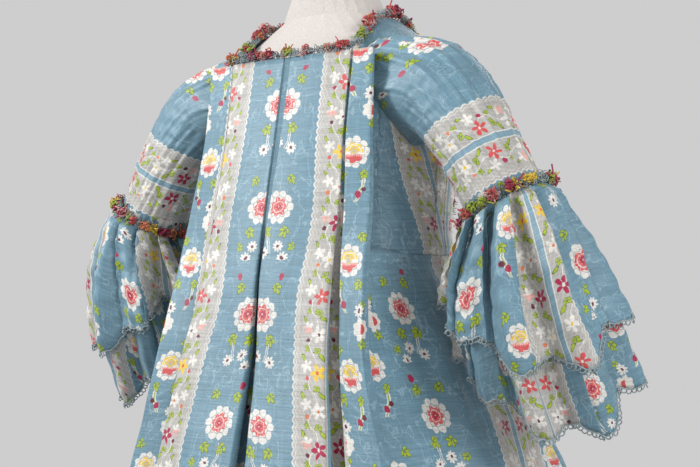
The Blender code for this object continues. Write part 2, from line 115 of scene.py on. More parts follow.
# The skirt's ring below the waist, and how deep its hanging folds are
SkirtRow = namedtuple("SkirtRow", "z half_width front_y back_y fold")
SKIRT = (
    SkirtRow(HEM_Z, 0.450, -0.485, 0.330, 0.0160),
    SkirtRow(0.350, 0.385, -0.440, 0.256, 0.0120),
    SkirtRow(0.650, 0.312, -0.380, 0.196, 0.0080),
    SkirtRow(0.790, 0.258, -0.325, 0.166, 0.0050),
    SkirtRow(0.890, 0.212, -0.250, 0.148, 0.0035),
    SkirtRow(0.960, 0.184, -0.196, 0.120, 0.0020),
    SkirtRow(1.005, 0.166, -0.172, 0.098, 0.0010),
    SkirtRow(WAIST_Z - 0.0005, 0.1526, -0.1626, 0.0866, 0.0000),
    SkirtRow(WAIST_Z + 0.006, 0.1466, -0.1566, 0.0806, 0.0000),
)
SKIRT_SQUARE = 2.2

# Armhole, strap and robing
ARMHOLE_Y, ARMHOLE_Z, ARMHOLE_HALF_Y, ARMHOLE_HALF_Z = 0.030, 1.255, 0.058, 0.076
STRAP_INNER, STRAP_OUTER = 0.102, 0.158
ROBING_TOP_X, ROBING_WAIST_X, ROBING_WIDTH = 0.122, 0.086, 0.034
SIDE_SEAM = 96.0

# Sleeve: bent centre line and the radius along it
SLEEVE_LINE = np.array(
    ((0.160, 0.030, 1.255), (0.222, 0.044, 1.262), (0.260, 0.058, 1.184), (0.311, 0.054, 1.088))
)
SleeveRow = namedtuple("SleeveRow", "along radius")
SLEEVE = (
    SleeveRow(0.00, 0.070),
    SleeveRow(0.25, 0.066),
    SleeveRow(0.50, 0.058),
    SleeveRow(0.75, 0.053),
    SleeveRow(1.00, 0.051),
)

# Flounces: where each tier starts, its lengths over and under the arm, and how full it hangs
Tier = namedtuple("Tier", "start radius short long fullness")
TIERS = {
    "upper": Tier(-0.006, 0.0570, 0.078, 0.226, 1.06),
    "lower": Tier(0.0015, 0.0500, 0.145, 0.304, 0.84),
}
BELL_WIDTH, BELL_REACH = 0.118, 0.240
DRIFT_STEADY, DRIFT_GROWING = 0.16, 0.85
SHORT_AT = radians(125)
INNER_PRESS = 0.18

# The woven cloth, across its width: a cream stripe every REPEAT, with a narrow blue band down its middle
REPEAT = 0.300
CREAM_HALF = 0.052
CREAM_SHOWN = 0.046
BAND_HALF = 0.0050
SCALLOP, NET_STEP, RIB = 0.0105, 0.0042, 0.0011
SPRIG_STEP = 0.048
SPRIGS = 6
SPRIG_START = 0.0445
ROSE_STEP = SPRIG_STEP * SPRIGS / 2
ROSE_START = -0.0015
ROSE_B_AT, ROSE_A_AT = -0.078, 0.108
# Roses stand off the seams of the side and sleeve cloths, and start below the waist on the side
SIDE_ROSE_AT, SIDE_FIGURED_FROM, SLEEVE_ROSE_AT = 0.142, 0.286, 0.172

# Small folds: gathers at the waist, pleats at the sleeve's head, knife pleats and scallops of the flounces
GATHER_DEPTH, HEAD_PLEAT_DEPTH, KNIFE_DEPTH, LOBE_FOLD_DEPTH = 0.0028, 0.0036, 0.0100, 0.012
HEM_SCALLOPS, SCALLOP_DEPTH = 62, 0.0034

# Threads of the fringe and the cuff's ring that it lies on
TUFT_STRANDS = 27
CUFF_RADIUS, CUFF_ABOVE_ELBOW = 0.0573, 0.0135

# The stage: lamps with their sizes, powers and the points that they look at, then the camera and the floor
LampRow = namedtuple("LampRow", "name place size power_w aim")
LAMPS = (
    LampRow("key", (1.45, 1.70, 2.15), 0.6, 69.0, (0.0, 0.1, 1.15)),
    LampRow("side", (-2.4, 0.9, 1.9), 0.8, 40.0, (-0.3, 0.0, 1.1)),
    LampRow("low", (-1.9, 1.7, 0.75), 0.9, 13.0, (-0.3, 0.2, 0.85)),
    LampRow("front", (0.8, -3.0, 2.2), 2.0, 34.0, (0.0, 0.0, 0.9)),
)
CAMERA_PLACE, CAMERA_AIM, LENS_MM = (-0.970, 1.365, 1.000), (-0.0324, 0.0065, 1.0664), 59.5
FLOOR_HALF, FLOOR_GREY = 1.9, (0.50, 0.495, 0.50)


def metres(name, words, value):
    return FloatProperty(name=name, description=words, default=value, unit="LENGTH")


class GownSizes(bpy.types.PropertyGroup):
    """Sizes that a maker would change."""

    thickness: metres("Silk", "Thickness of the silk", 0.0006)
    wrinkle: metres("Wrinkles", "Depth of the strain wrinkles", 0.0011)
    flounce_pleats: IntProperty(name="Flounce pleats", description="Pleats round each flounce", default=13)
    flounce_lobes: IntProperty(name="Hem lobes", description="Deep lobes round each flounce", default=9)
    lobe_drop: metres("Lobe depth", "Depth of the hem's lobes", 0.012)
    loop: metres("Braid loop", "Radius of the braid's loops", 0.0034)
    tuft: metres("Tuft", "Reach of the fringe's floss tufts", 0.0145)


def colour_property(name, words, value):
    return FloatVectorProperty(
        name=name, description=words, default=value, subtype="COLOR", size=3, min=0, max=1
    )


class GownColours(bpy.types.PropertyGroup):
    """Colours of the silk, its flowers and the trimmings, in linear light."""

    blue: colour_property("Blue", "Ground of the silk", (0.100, 0.190, 0.244))
    shadow: colour_property("Petal joins", "Lines between the petals", (0.190, 0.235, 0.265))
    vein: colour_property("Vein", "Pale lines woven in the ground", (0.257, 0.365, 0.421))
    cream: colour_property("Cream", "Wide stripes", (0.300, 0.292, 0.276))
    white: colour_property("White", "Petals and lace line", (0.505, 0.492, 0.460))
    leaf: colour_property("Leaf", "Yellow-green leaves", (0.250, 0.320, 0.018))
    dark_leaf: colour_property("Dark leaf", "Shaded leaves", (0.056, 0.104, 0.016))
    coral: colour_property("Coral", "Coral petals", (0.420, 0.055, 0.055))
    magenta: colour_property("Magenta", "Magenta petals and berries", (0.264, 0.008, 0.044))
    berry: colour_property("Berry", "Dark berries", (0.080, 0.006, 0.022))
    yellow: colour_property("Yellow", "Yellow petals", (0.544, 0.368, 0.024))
    orange: colour_property("Orange", "Orange berries", (0.448, 0.128, 0.048))
    pink: colour_property("Pink", "Pale pink petals", (0.512, 0.264, 0.232))
    braid: colour_property("Braid", "Looped braid", (0.245, 0.300, 0.315))
    form: colour_property("Form", "Dress form", (0.480, 0.445, 0.420))
    steel: colour_property("Stand", "Pole and foot", (0.300, 0.310, 0.320))
    backdrop: colour_property("Backdrop", "Studio wall", (0.620, 0.615, 0.620))


# Tables and rings


def read(table, name, at):
    """A column of a table at heights or shares, on a smooth curve through its rows."""
    places = np.array([row[0] for row in table])
    values = np.array([getattr(row, name) for row in table])
    slopes = np.gradient(values, places)
    at = np.clip(np.asarray(at, float), places[0], places[-1])
    k = np.clip(np.searchsorted(places, at, side="right") - 1, 0, len(places) - 2)
    span = places[k + 1] - places[k]
    t = (at - places[k]) / span
    low, high = values[k], values[k + 1]
    rise = (2 * t**3 - 3 * t**2 + 1) * low + (3 * t**2 - 2 * t**3) * high
    return rise + span * ((t**3 - 2 * t**2 + t) * slopes[k] + (t**3 - t**2) * slopes[k + 1])


def straight(table, name, at):
    """A column of a table at heights, straight between its rows."""
    return np.interp(at, [row[0] for row in table], [getattr(row, name) for row in table])


def smooth_step(share):
    share = np.clip(share, 0.0, 1.0)
    return share * share * (3 - 2 * share)


def power(value, exponent):
    return np.sign(value) * np.abs(value) ** exponent


def unit(way):
    """A direction of length one, or directions along the last axis."""
    return way / np.maximum(np.linalg.norm(way, axis=-1, keepdims=True), 1e-12)


def ring(half_width, front_y, back_y, square, degrees_round):
    """x and y on a rounded ring; 0 degrees is the middle of the back and 180 the middle of the front."""
    turn = np.radians(degrees_round)
    x = half_width * power(np.sin(turn), 2 / square)
    y = (front_y + back_y) / 2 + (back_y - front_y) / 2 * power(np.cos(turn), 2 / square)
    return x, y


def body(degrees_round, z, out):
    """Points at a distance outside the form."""
    values = [straight(FORM, name, z) for name in FormRow._fields[1:]]
    x, y = ring(values[0] + out, values[1] - out, values[2] + out, values[3], degrees_round)
    return np.stack(np.broadcast_arrays(x, y, z), -1)


def body_at_x(x, z, out, front):
    """Points outside the form at a given x, on its front or its back."""
    width, front_y, back_y, square = (straight(FORM, name, z) for name in FormRow._fields[1:])
    share = np.clip(np.abs(x) / (width + out), 0, 1)
    reach = ((back_y - front_y) / 2 + out) * (1 - share**square) ** (1 / square)
    y = (front_y + back_y) / 2 + np.where(front, -reach, reach)
    return np.stack(np.broadcast_arrays(x, y, z), -1)


def body_at_y(y, z, out):
    """Points outside the form's left side at a given y."""
    width, front_y, back_y, square = (straight(FORM, name, z) for name in FormRow._fields[1:])
    share = np.clip(np.abs(y - (front_y + back_y) / 2) / ((back_y - front_y) / 2 + out), 0, 1)
    return np.stack(np.broadcast_arrays((width + out) * (1 - share**square) ** (1 / square), y, z), -1)


def waves(*arguments):
    """A soft uneven sum of sines, from pairs of phase arrays and weights."""
    return sum(weight * np.sin(phase) for phase, weight in arguments)


# Meshes


def normals_of(grid, closed=False):
    """Unit normals of a grid of points, columns across and rows along."""
    across = np.roll(grid, -1, 1) - np.roll(grid, 1, 1)
    if not closed:
        across[:, 0] = grid[:, 1] - grid[:, 0]
        across[:, -1] = grid[:, -1] - grid[:, -2]
    along = np.gradient(grid, axis=0)
    return unit(np.cross(across, along))


def arc(grid, axis):
    """Distance run along a grid's rows or columns, from the first."""
    steps = np.linalg.norm(np.diff(grid, axis=axis), axis=-1)
    start = np.zeros_like(np.take(steps, [0], axis=axis))
    return np.concatenate((start, np.cumsum(steps, axis=axis)), axis=axis)


def mirrored(grid):
    """A grid and its cloth places on the wearer's right, the columns turned round to face out."""
    points, places = grid
    return points[:, ::-1] * np.array((-1.0, 1.0, 1.0)), places[:, ::-1]


def link(name, mesh, look, nodes):
    """A piece in the scene, riding on the root and standing for its nodes."""
    piece = bpy.data.objects.new(name, mesh)
    bpy.context.scene.collection.objects.link(piece)
    if look:
        mesh.materials.append(look)
    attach(piece, "root")
    if nodes:
        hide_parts(*nodes)
    return piece


def cloth_mesh(name, points, places):
    """A mesh of squares with its cloth places, in metres, in the UV map named cloth."""
    rows, columns = points.shape[:2]
    index = np.arange(rows * columns).reshape(rows, columns)
    quads = np.stack((index[:-1, :-1], index[:-1, 1:], index[1:, 1:], index[1:, :-1]), -1).reshape(-1, 4)
    mesh = bpy.data.meshes.new(name)
    mesh.from_pydata(points.reshape(-1, 3).tolist(), [], quads.tolist())
    layer = mesh.uv_layers.new(name="cloth")
    corners = places.reshape(-1, 2)[quads.reshape(-1)]
    layer.data.foreach_set("uv", corners.astype(np.float32).ravel())
    mesh.shade_smooth()
    return mesh


def flat_area(places):
    """The area that the piece was cut to."""
    a, b = places[:-1, :-1], places[1:, 1:]
    c, d = places[:-1, 1:], places[1:, :-1]
    one, two = b - a, c - d
    return float(np.abs(one[..., 0] * two[..., 1] - one[..., 1] * two[..., 0]).sum() / 2)


def join_seam(piece):
    """Merges the two edges of a cloth tube where they meet."""
    work = bmesh.new()
    work.from_mesh(piece.data)
    bmesh.ops.remove_doubles(work, verts=work.verts, dist=1e-6)
    work.to_mesh(piece.data)
    work.free()


def cloth_piece(name, grid, look, tube=False):
    """A thin silk piece from its points and cloth places. The size that it was cut to is worked out but not
    kept.
    """
    points, places = grid
    piece = link(name + "_silk", cloth_mesh(name, points, places), look, [name])
    if tube:
        join_seam(piece)
    thick = piece.modifiers.new("Thickness", "SOLIDIFY")
    thick.thickness = bpy.context.scene.gown_sizes.thickness
    thick.offset = -1
    spread = places.reshape(-1, 2).max(0) - places.reshape(-1, 2).min(0)
    min(flat_area(places), float(spread[0] * spread[1]))


def cloth_pair(stem, grid, look, tube=False):
    """The left piece and its mirror image on the right."""
    cloth_piece(stem + "_left", grid, look, tube)
    cloth_piece(stem + "_right", mirrored(grid), look, tube)


# Materials


class Signal:
    """A number worked out over a surface by a material's nodes. Python's operators join the nodes."""

    def __init__(self, tree, socket):
        self.tree = tree
        self.socket = socket

    def math(self, operation, *others, clamp=False):
        node = self.tree.nodes.new("ShaderNodeMath")
        node.operation = operation
        node.use_clamp = clamp
        for place, value in enumerate((self, *others)):
            if isinstance(value, Signal):
                self.tree.links.new(value.socket, node.inputs[place])
            else:
                node.inputs[place].default_value = value
        return Signal(self.tree, node.outputs[0])

    def __add__(self, other):
        return self.math("ADD", other)

    def __sub__(self, other):
        return self.math("SUBTRACT", other)

    def __mul__(self, other):
        return self.math("MULTIPLY", other)

    def __truediv__(self, other):
        return self.math("DIVIDE", other)

    def size(self):
        return self.math("ABSOLUTE")

    def wrap(self, span):
        """The distance from the nearest whole number of spans."""
        return self.math("WRAP", span / 2, -span / 2)

    def count(self, span):
        """The number of the nearest whole span."""
        return (self / span).math("ROUND")

    def below(self, edge, soft):
        """A mask that is 1 below an edge."""
        return ((self - edge) * (-1 / soft) + 0.5).math("MAXIMUM", 0.0).math("MINIMUM", 1.0)

    def near(self, value, half, soft):
        """A mask that is 1 within a distance of a value."""
        return (self - value).size().below(half, soft)

    def above(self, edge, soft):
        return ((self - edge) * (1 / soft) + 0.5).math("MAXIMUM", 0.0).math("MINIMUM", 1.0)

    def sine(self, times):
        return (self * times).math("SINE")

    def either(self, other):
        return self.math("MAXIMUM", other)

    def least(self, other):
        return self.math("MINIMUM", other)


class Cloth:
    """A node material for woven cloth: its places across and along, and coats of colour laid by masks."""

    def __init__(self, name):
        self.look = bpy.data.materials.new(name)
        self.look.use_nodes = True
        self.tree = self.look.node_tree
        self.shader = self.tree.nodes["Principled BSDF"]
        place = self.tree.nodes.new("ShaderNodeUVMap")
        place.uv_map = "cloth"
        self.place = place.outputs[0]
        split = self.tree.nodes.new("ShaderNodeSeparateXYZ")
        self.tree.links.new(self.place, split.inputs[0])
        self.across = Signal(self.tree, split.outputs[0]) + self.waver(90.0, 60.0, 0.0022)
        self.along = Signal(self.tree, split.outputs[1]) + self.waver(70.0, 80.0, 0.0022)
        self.colour = None

    def noise(self, across, along, detail=2.0):
        scale = self.tree.nodes.new("ShaderNodeMapping")
        scale.inputs["Scale"].default_value = (across, along, 1.0)
        self.tree.links.new(self.place, scale.inputs["Vector"])
        node = self.tree.nodes.new("ShaderNodeTexNoise")
        node.inputs["Scale"].default_value = 1.0
        node.inputs["Detail"].default_value = detail
        self.tree.links.new(scale.outputs[0], node.inputs["Vector"])
        return Signal(self.tree, node.outputs[0])

    def waver(self, across, along, reach):
        """A noise about zero, to move the drawing by."""
        return (self.noise(across, along) - 0.5) * reach

    def choice(self, number, colours):
        """One of several colours by a whole number, over and over."""
        ramp = self.tree.nodes.new("ShaderNodeValToRGB")
        ramp.color_ramp.interpolation = "CONSTANT"
        while len(ramp.color_ramp.elements) < len(colours):
            ramp.color_ramp.elements.new(0.5)
        for place, colour in enumerate(colours):
            element = ramp.color_ramp.elements[place]
            element.position = place / len(colours)
            element.color = (*colour, 1.0)
        share = (number + 0.5).math("WRAP", float(len(colours)), 0.0) / len(colours)
        self.tree.links.new(share.socket, ramp.inputs[0])
        return ramp.outputs[0]

    def coat(self, mask, colour):
        """Lays a colour, or a colour socket, over what is there."""
        mix = self.tree.nodes.new("ShaderNodeMix")
        mix.data_type = "RGBA"
        if isinstance(mask, Signal):
            self.tree.links.new(mask.socket, mix.inputs["Factor"])
        else:
            mix.inputs["Factor"].default_value = mask
        if self.colour is None:
            mix.inputs["Factor"].default_value = 1.0
        else:
            self.tree.links.new(self.colour, mix.inputs[6])
        if isinstance(colour, bpy.types.NodeSocket):
            self.tree.links.new(colour, mix.inputs[7])
        else:
            mix.inputs[7].default_value = (*colour, 1.0)
        self.colour = mix.outputs[2]

    def shade(self, amount):
        """Multiplies the colour by a number."""
        joined = self.tree.nodes.new("ShaderNodeCombineXYZ")
        for place in range(3):
            self.tree.links.new(amount.socket, joined.inputs[place])
        mix = self.tree.nodes.new("ShaderNodeMix")
        mix.data_type = "RGBA"
        mix.blend_type = "MULTIPLY"
        mix.inputs["Factor"].default_value = 1.0
        self.tree.links.new(self.colour, mix.inputs[6])
        self.tree.links.new(joined.outputs[0], mix.inputs[7])
        self.colour = mix.outputs[2]

    def finish(self, height, roughness, sheen, strength=0.35, distance=0.0006):
        self.tree.links.new(self.colour, self.shader.inputs["Base Color"])
        self.shader.inputs["Roughness"].default_value = roughness
        self.shader.inputs["Sheen Weight"].default_value = sheen
        self.shader.inputs["Sheen Roughness"].default_value = 0.45
        self.shader.inputs["Specular IOR Level"].default_value = 0.35
        bump = self.tree.nodes.new("ShaderNodeBump")
        bump.inputs["Strength"].default_value = strength
        bump.inputs["Distance"].default_value = distance
        self.tree.links.new(height.socket, bump.inputs["Height"])
        self.tree.links.new(bump.outputs[0], self.shader.inputs["Normal"])
        return self.look


def radius_of(x, y):
    return (x * x + y * y).math("SQRT")


def flower(x, y, reach, petals, depth, soft=0.0007):
    """A flower of round petals: its mask, and each point's distance and angle from its middle."""
    far = radius_of(x, y)
    turn = y.math("ARCTAN2", x)
    edge = (turn * (petals / 2)).math("COSINE").size() * (reach * depth) + reach * (1 - depth)
    return (far - edge).below(0.0, soft), far, turn


def oval(x, y, at_x, at_y, half_long, half_wide, lean):
    """How far a point is from an oval's middle, with 1 at the edge. It leans by degrees from the length."""
    turn = radians(lean)
    dx, dy = x - at_x, y - at_y
    along = dx * (sin(turn) / half_long) + dy * (cos(turn) / half_long)
    across = dx * (cos(turn) / half_wide) - dy * (sin(turn) / half_wide)
    return along * along + across * across


def spray(x, y, at_x, at_y, size, lean):
    """A spray of five leaflets on a short stem, as one distance."""
    turn = radians(lean)
    dx, dy = x - at_x, y - at_y
    ahead = dx * sin(turn) + dy * cos(turn)
    aside = (dx * cos(turn) - dy * sin(turn)).size()
    tip = oval(aside, ahead, 0.0, 0.62 * size, 0.42 * size, 0.21 * size, 0)
    upper = oval(aside, ahead, 0.38 * size, 0.22 * size, 0.38 * size, 0.20 * size, 50)
    lower = oval(aside, ahead, 0.34 * size, -0.30 * size, 0.34 * size, 0.17 * size, 62)
    return tip.least(upper).least(lower)


def lay_leaves(cloth, hues, places):
    """Leaves with a dark outline, each place a distance from an oval or a spray."""
    nearest = places[0]
    for place in places[1:]:
        nearest = nearest.least(place)
    cloth.coat(nearest.below(1.55, 0.4), hues.dark_leaf)
    cloth.coat(nearest.below(0.92, 0.3), hues.leaf)


def sprigs(cloth, hues, beside, along, cream):
    """Small flowers down both sides of each cream stripe, in six turns of colour."""
    number = (along - SPRIG_START).count(SPRIG_STEP)
    y = (along - SPRIG_START).wrap(SPRIG_STEP)
    leaves = [
        spray(beside, y, 0.0190, 0.0200, 0.0072, 8),
        spray(beside, y, 0.0330, 0.0170, 0.0056, 40),
        oval(beside, y, 0.0118, -0.0195, 0.0050, 0.0021, -50),
        oval(beside, y, 0.0395, -0.0190, 0.0042, 0.0019, -30),
    ]
    lay_leaves(cloth, hues, leaves)
    stem = beside.near(y.sine(2 * pi / SPRIG_STEP) * 0.006 + 0.0255, 0.0006, 0.0006)
    cloth.coat(stem * cream, hues.white)
    second, far, _ = flower(beside - 0.0345, y + 0.0085, 0.0086, 5, 0.74)
    cloth.coat(second, hues.white)
    second_hues = (hues.white, hues.pink, hues.white, hues.white, hues.pink, hues.white)
    cloth.coat(second * (y + 0.0085).above(0.0, 0.001), cloth.choice(number, second_hues))
    first, far, _ = flower(beside - 0.0180, y, 0.0112, 5, 0.78)
    first_hues = (hues.coral, hues.white, hues.yellow, hues.white, hues.magenta, hues.white)
    cloth.coat(first, cloth.choice(number, first_hues))
    heart_hues = (hues.white, hues.berry, hues.coral, hues.orange, hues.white, hues.yellow)
    cloth.coat(far.below(0.0021, 0.0008), cloth.choice(number, heart_hues))
    berry_hues = (hues.magenta, hues.berry, hues.coral, hues.orange, hues.berry, hues.orange)
    berry = radius_of(beside - 0.0340, y - 0.0070).below(0.0029, 0.0008)
    cloth.coat(berry, cloth.choice(number, berry_hues))


def lay_petals(cloth, hues, x, y, reach, petals, inner):
    """Two ranks of round white petals, with the ground's colour in the joins between them."""
    outer, far, turn = flower(x, y, reach, petals, 0.17, 0.0008)
    cloth.coat(outer, hues.white)
    half_turns = turn * (petals / 2)
    joins = half_turns.math("COSINE").size().below(0.13, 0.12) * far.above(inner * 1.02, 0.001)
    offset = (half_turns + pi / 2).math("COSINE").size()
    edge = offset * (0.14 * inner) + 0.90 * inner
    rim = far.near(edge, 0.0006, 0.0006)
    middles = offset.below(0.07, 0.08) * far.above(inner * 1.10, 0.001)
    middles = middles * far.below(reach * 0.90, 0.001) * 0.5
    cloth.coat(joins.either(rim).either(middles) * outer, hues.shadow)


def yellow_roses(cloth, hues, across, along):
    """A column of white roses with yellow hearts and coral bowls, with stems, berries and buds between."""
    number = (along - ROSE_START).count(ROSE_STEP)
    y = (along - ROSE_START).wrap(ROSE_STEP)
    x = (across - ROSE_B_AT).wrap(REPEAT) * (number * pi).math("COSINE")
    shown = x.size().below(0.036, 0.001) * y.near(0.0470, 0.0200, 0.002)
    stem = (x - y.sine(2 * pi / ROSE_STEP) * 0.014).size()
    cloth.coat(stem.near(0.0017, 0.0008, 0.0006) * shown, hues.white)
    cloth.coat(stem.below(0.0006, 0.0006) * shown, hues.leaf)
    leaves = [
        spray(x, y, -0.0180, 0.0290, 0.0096, 30),
        spray(x, y, 0.0150, 0.0290, 0.0088, -35),
        spray(x, y, -0.0170, -0.0320, 0.0092, -50),
        spray(x, y, 0.0250, -0.0400, 0.0088, 55),
        spray(x, y, -0.0250, 0.0560, 0.0080, -25),
    ]
    lay_leaves(cloth, hues, leaves)
    bloom, far, _ = flower(x - 0.0230, y + 0.0580, 0.0140, 7, 0.24)
    cloth.coat(bloom, hues.white)
    cloth.coat(far.below(0.0068, 0.0010) * (x - 0.0230).above(0.0, 0.001), hues.coral)
    bloom, far, _ = flower(x + 0.0200, y - 0.0640, 0.0090, 9, 0.45)
    cloth.coat(bloom, hues.white)
    cloth.coat(far.below(0.0026, 0.0008), hues.berry)
    cloth.coat(radius_of(x - 0.0070, y - 0.0560).below(0.0044, 0.0009), hues.magenta)
    cloth.coat(radius_of(x - 0.0150, y - 0.0500).below(0.0034, 0.0009), hues.berry)
    lay_petals(cloth, hues, x, y, 0.0220, 9, 0.0148)
    heart, far, _ = flower(x, y, 0.0140, 7, 0.16, 0.0008)
    cloth.coat(heart, hues.white)
    cloth.coat(heart * y.below(-0.0012, 0.0012), hues.yellow)
    cloth.coat(heart * y.above(0.0026, 0.0012) * far.above(0.0040, 0.001), hues.coral)
    teeth = (x.sine(2 * pi / 0.0052).size() * 0.0030 + 0.0030 - y).above(0.0, 0.0008)
    cloth.coat(heart * teeth * y.above(0.0026, 0.0008) * far.above(0.0040, 0.001), hues.pink)
    cloth.coat(far.near(0.0100, 0.0007, 0.0006) * y.below(0.0, 0.001), hues.white)
    centre, far, _ = flower(x, y + 0.0015, 0.0058, 5, 0.25, 0.0008)
    cloth.coat(centre, hues.cream)
    cloth.coat(far.near(0.0030, 0.0007, 0.0006), hues.yellow)


def coral_roses(cloth, hues, across, along, middle):
    """A column of white roses with coral hearts, with leaf pairs, daisies and berries between."""
    y = (along - ROSE_START - 0.070).wrap(ROSE_STEP)
    number = (along - ROSE_START - 0.070).count(ROSE_STEP)
    x = (across - middle).wrap(REPEAT) * (number * pi).math("COSINE")
    stem = (x - y.sine(2 * pi / ROSE_STEP) * -0.011).size()
    shown = y.near(0.0440, 0.0180, 0.002)
    cloth.coat(stem.near(0.0015, 0.0006, 0.0006) * shown, hues.white)
    leaves = [
        spray(x, y, -0.0150, 0.0330, 0.0104, 50),
        spray(x, y, 0.0150, 0.0330, 0.0104, -50),
        spray(x, y, -0.0190, -0.0360, 0.0098, -35),
        spray(x, y, 0.0170, -0.0380, 0.0092, 40),
        spray(x, y, 0.0300, 0.0540, 0.0078, -50),
    ]
    lay_leaves(cloth, hues, leaves)
    for at_x, at_y in ((-0.0140, 0.0620), (0.0080, 0.0540), (0.0180, 0.0690)):
        daisy, far, _ = flower(x - at_x, y - at_y, 0.0084, 9, 0.45)
        cloth.coat(daisy, hues.white)
        cloth.coat(far.below(0.0022, 0.0008), hues.berry)
    cloth.coat(radius_of(x + 0.0240, y + 0.0500).below(0.0044, 0.0009), hues.magenta)
    lay_petals(cloth, hues, x, y, 0.0232, 10, 0.0146)
    heart, far, turn = flower(x, y, 0.0136, 7, 0.26, 0.0009)
    cloth.coat(heart, hues.coral)
    cuts = (turn * 3.5 + 1.6).math("COSINE").size().below(0.16, 0.12) * far.above(0.0040, 0.001) * heart
    cloth.coat(cuts, hues.pink)
    ring = far.near(0.0080, 0.0006, 0.0006)
    cloth.coat(ring * 0.8, hues.white)
    centre, far, _ = flower(x, y, 0.0046, 4, 0.30, 0.0008)
    cloth.coat(centre, hues.magenta)
    cloth.coat(far.below(0.0014, 0.0008), hues.pink)


def lay_stripes(cloth, hues, across, along):
    """The blue ground with its pale veins, then the lace-edged cream stripes and the netted band.

    It gives the mask of the cream.
    """
    beside = across.size()
    scallop = (along.sine(pi / SCALLOP).size() * 0.0030) + CREAM_HALF
    cream = (beside - scallop).below(0.0, 0.0010)
    veins = cloth.noise(26.0, 15.0, 3.0)
    more_veins = cloth.noise(17.0, 34.0, 2.0)
    cloth.coat(1.0, hues.blue)
    thin = veins.near(0.50, 0.006, 0.010).either(more_veins.near(0.47, 0.004, 0.008))
    cloth.coat(thin * 0.50, hues.vein)
    cloth.coat(cream, hues.cream)
    flecks = (across + along * 0.5).sine(2 * pi / 0.006).above(0.72, 0.3) * cream * 0.22
    cloth.coat(flecks, hues.white)
    lace = (beside - scallop).near(0.0004, 0.0011, 0.0009)
    inner = (beside - scallop).near(-0.0042, 0.0006, 0.0008)
    cloth.coat((lace.either(inner * 0.7)) * 0.9, hues.white)
    band = beside.below(BAND_HALF, 0.0008)
    cloth.coat(band, hues.blue)
    net = (across + along).sine(2 * pi / NET_STEP) * (across - along).sine(2 * pi / NET_STEP)
    cloth.coat(band * net.size().below(0.22, 0.2) * 0.75, hues.vein)
    cloth.coat(beside.near(BAND_HALF, 0.0007, 0.0007), hues.white)
    return cream


def weave(cloth):
    """Slubs, ribs and uneven dye: shades the colour, and gives the height of the threads."""
    slub = cloth.noise(35.0, 900.0, 3.0)
    stripe = cloth.noise(650.0, 20.0, 2.0)
    patch = cloth.noise(7.0, 9.0, 2.0)
    coarse = cloth.noise(11.0, 240.0, 2.0)
    upright = cloth.noise(230.0, 12.0, 2.0)
    shade = (slub - 0.5) * 0.80 + (stripe - 0.5) * 0.30 + (patch - 0.5) * 0.40 + 1.0
    cloth.shade(shade + (coarse - 0.5) * 0.50 + (upright - 0.5) * 0.30)
    return cloth.along.sine(2 * pi / RIB) * 0.25 + slub + stripe * 0.5 + coarse * 2.0


def brocade(name, coral_at=ROSE_A_AT, figured_from=None):
    """Striped silk brocade with its flowers. Its rose columns may start part way down."""
    hues = bpy.context.scene.gown_colours
    cloth = Cloth(name)
    cream = lay_stripes(cloth, hues, cloth.across.wrap(REPEAT), cloth.along)
    drawn_across = cloth.across + cloth.waver(110.0, 95.0, 0.0060) + cloth.waver(500.0, 460.0, 0.0018)
    drawn_along = cloth.along + cloth.waver(85.0, 120.0, 0.0060) + cloth.waver(430.0, 520.0, 0.0018)
    sprigs(cloth, hues, drawn_across.wrap(REPEAT).size(), drawn_along, cream)
    ground = cream * -1.0 + 1.0
    if figured_from is not None:
        ground = ground * cloth.along.above(figured_from, 0.002)
    plain = cloth.colour
    yellow_roses(cloth, hues, drawn_across, drawn_along)
    coral_roses(cloth, hues, drawn_across, drawn_along, coral_at)
    flowered = cloth.colour
    cloth.colour = plain
    cloth.coat(ground, flowered)
    return cloth.finish(weave(cloth), 0.46, 0.12)


def plain_look(name, colour, grain, roughness, sheen=0.0, metallic=0.0, bump=0.25, spread=0.28):
    """A single colour with the fine grain of its stuff, for trimmings, the stand and the floor."""
    look = bpy.data.materials.new(name)
    look.use_nodes = True
    tree = look.node_tree
    shader = tree.nodes["Principled BSDF"]
    place = tree.nodes.new("ShaderNodeTexCoord")
    noise = tree.nodes.new("ShaderNodeTexNoise")
    noise.inputs["Scale"].default_value = grain
    noise.inputs["Detail"].default_value = 4.0
    tree.links.new(place.outputs["Object"], noise.inputs["Vector"])
    ramp = tree.nodes.new("ShaderNodeValToRGB")
    ramp.color_ramp.elements[0].position = 0.30
    ramp.color_ramp.elements[0].color = (*((1 - spread) * c for c in colour), 1.0)
    ramp.color_ramp.elements[1].position = 0.70
    ramp.color_ramp.elements[1].color = (*(min(1.0, (1 + 0.4 * spread) * c) for c in colour), 1.0)
    tree.links.new(noise.outputs[0], ramp.inputs[0])
    tree.links.new(ramp.outputs[0], shader.inputs["Base Color"])
    shader.inputs["Roughness"].default_value = roughness
    shader.inputs["Metallic"].default_value = metallic
    shader.inputs["Sheen Weight"].default_value = sheen
    lift = tree.nodes.new("ShaderNodeBump")
    lift.inputs["Strength"].default_value = bump
    lift.inputs["Distance"].default_value = 0.0004
    tree.links.new(noise.outputs[0], lift.inputs["Height"])
    tree.links.new(lift.outputs[0], shader.inputs["Normal"])
    return look


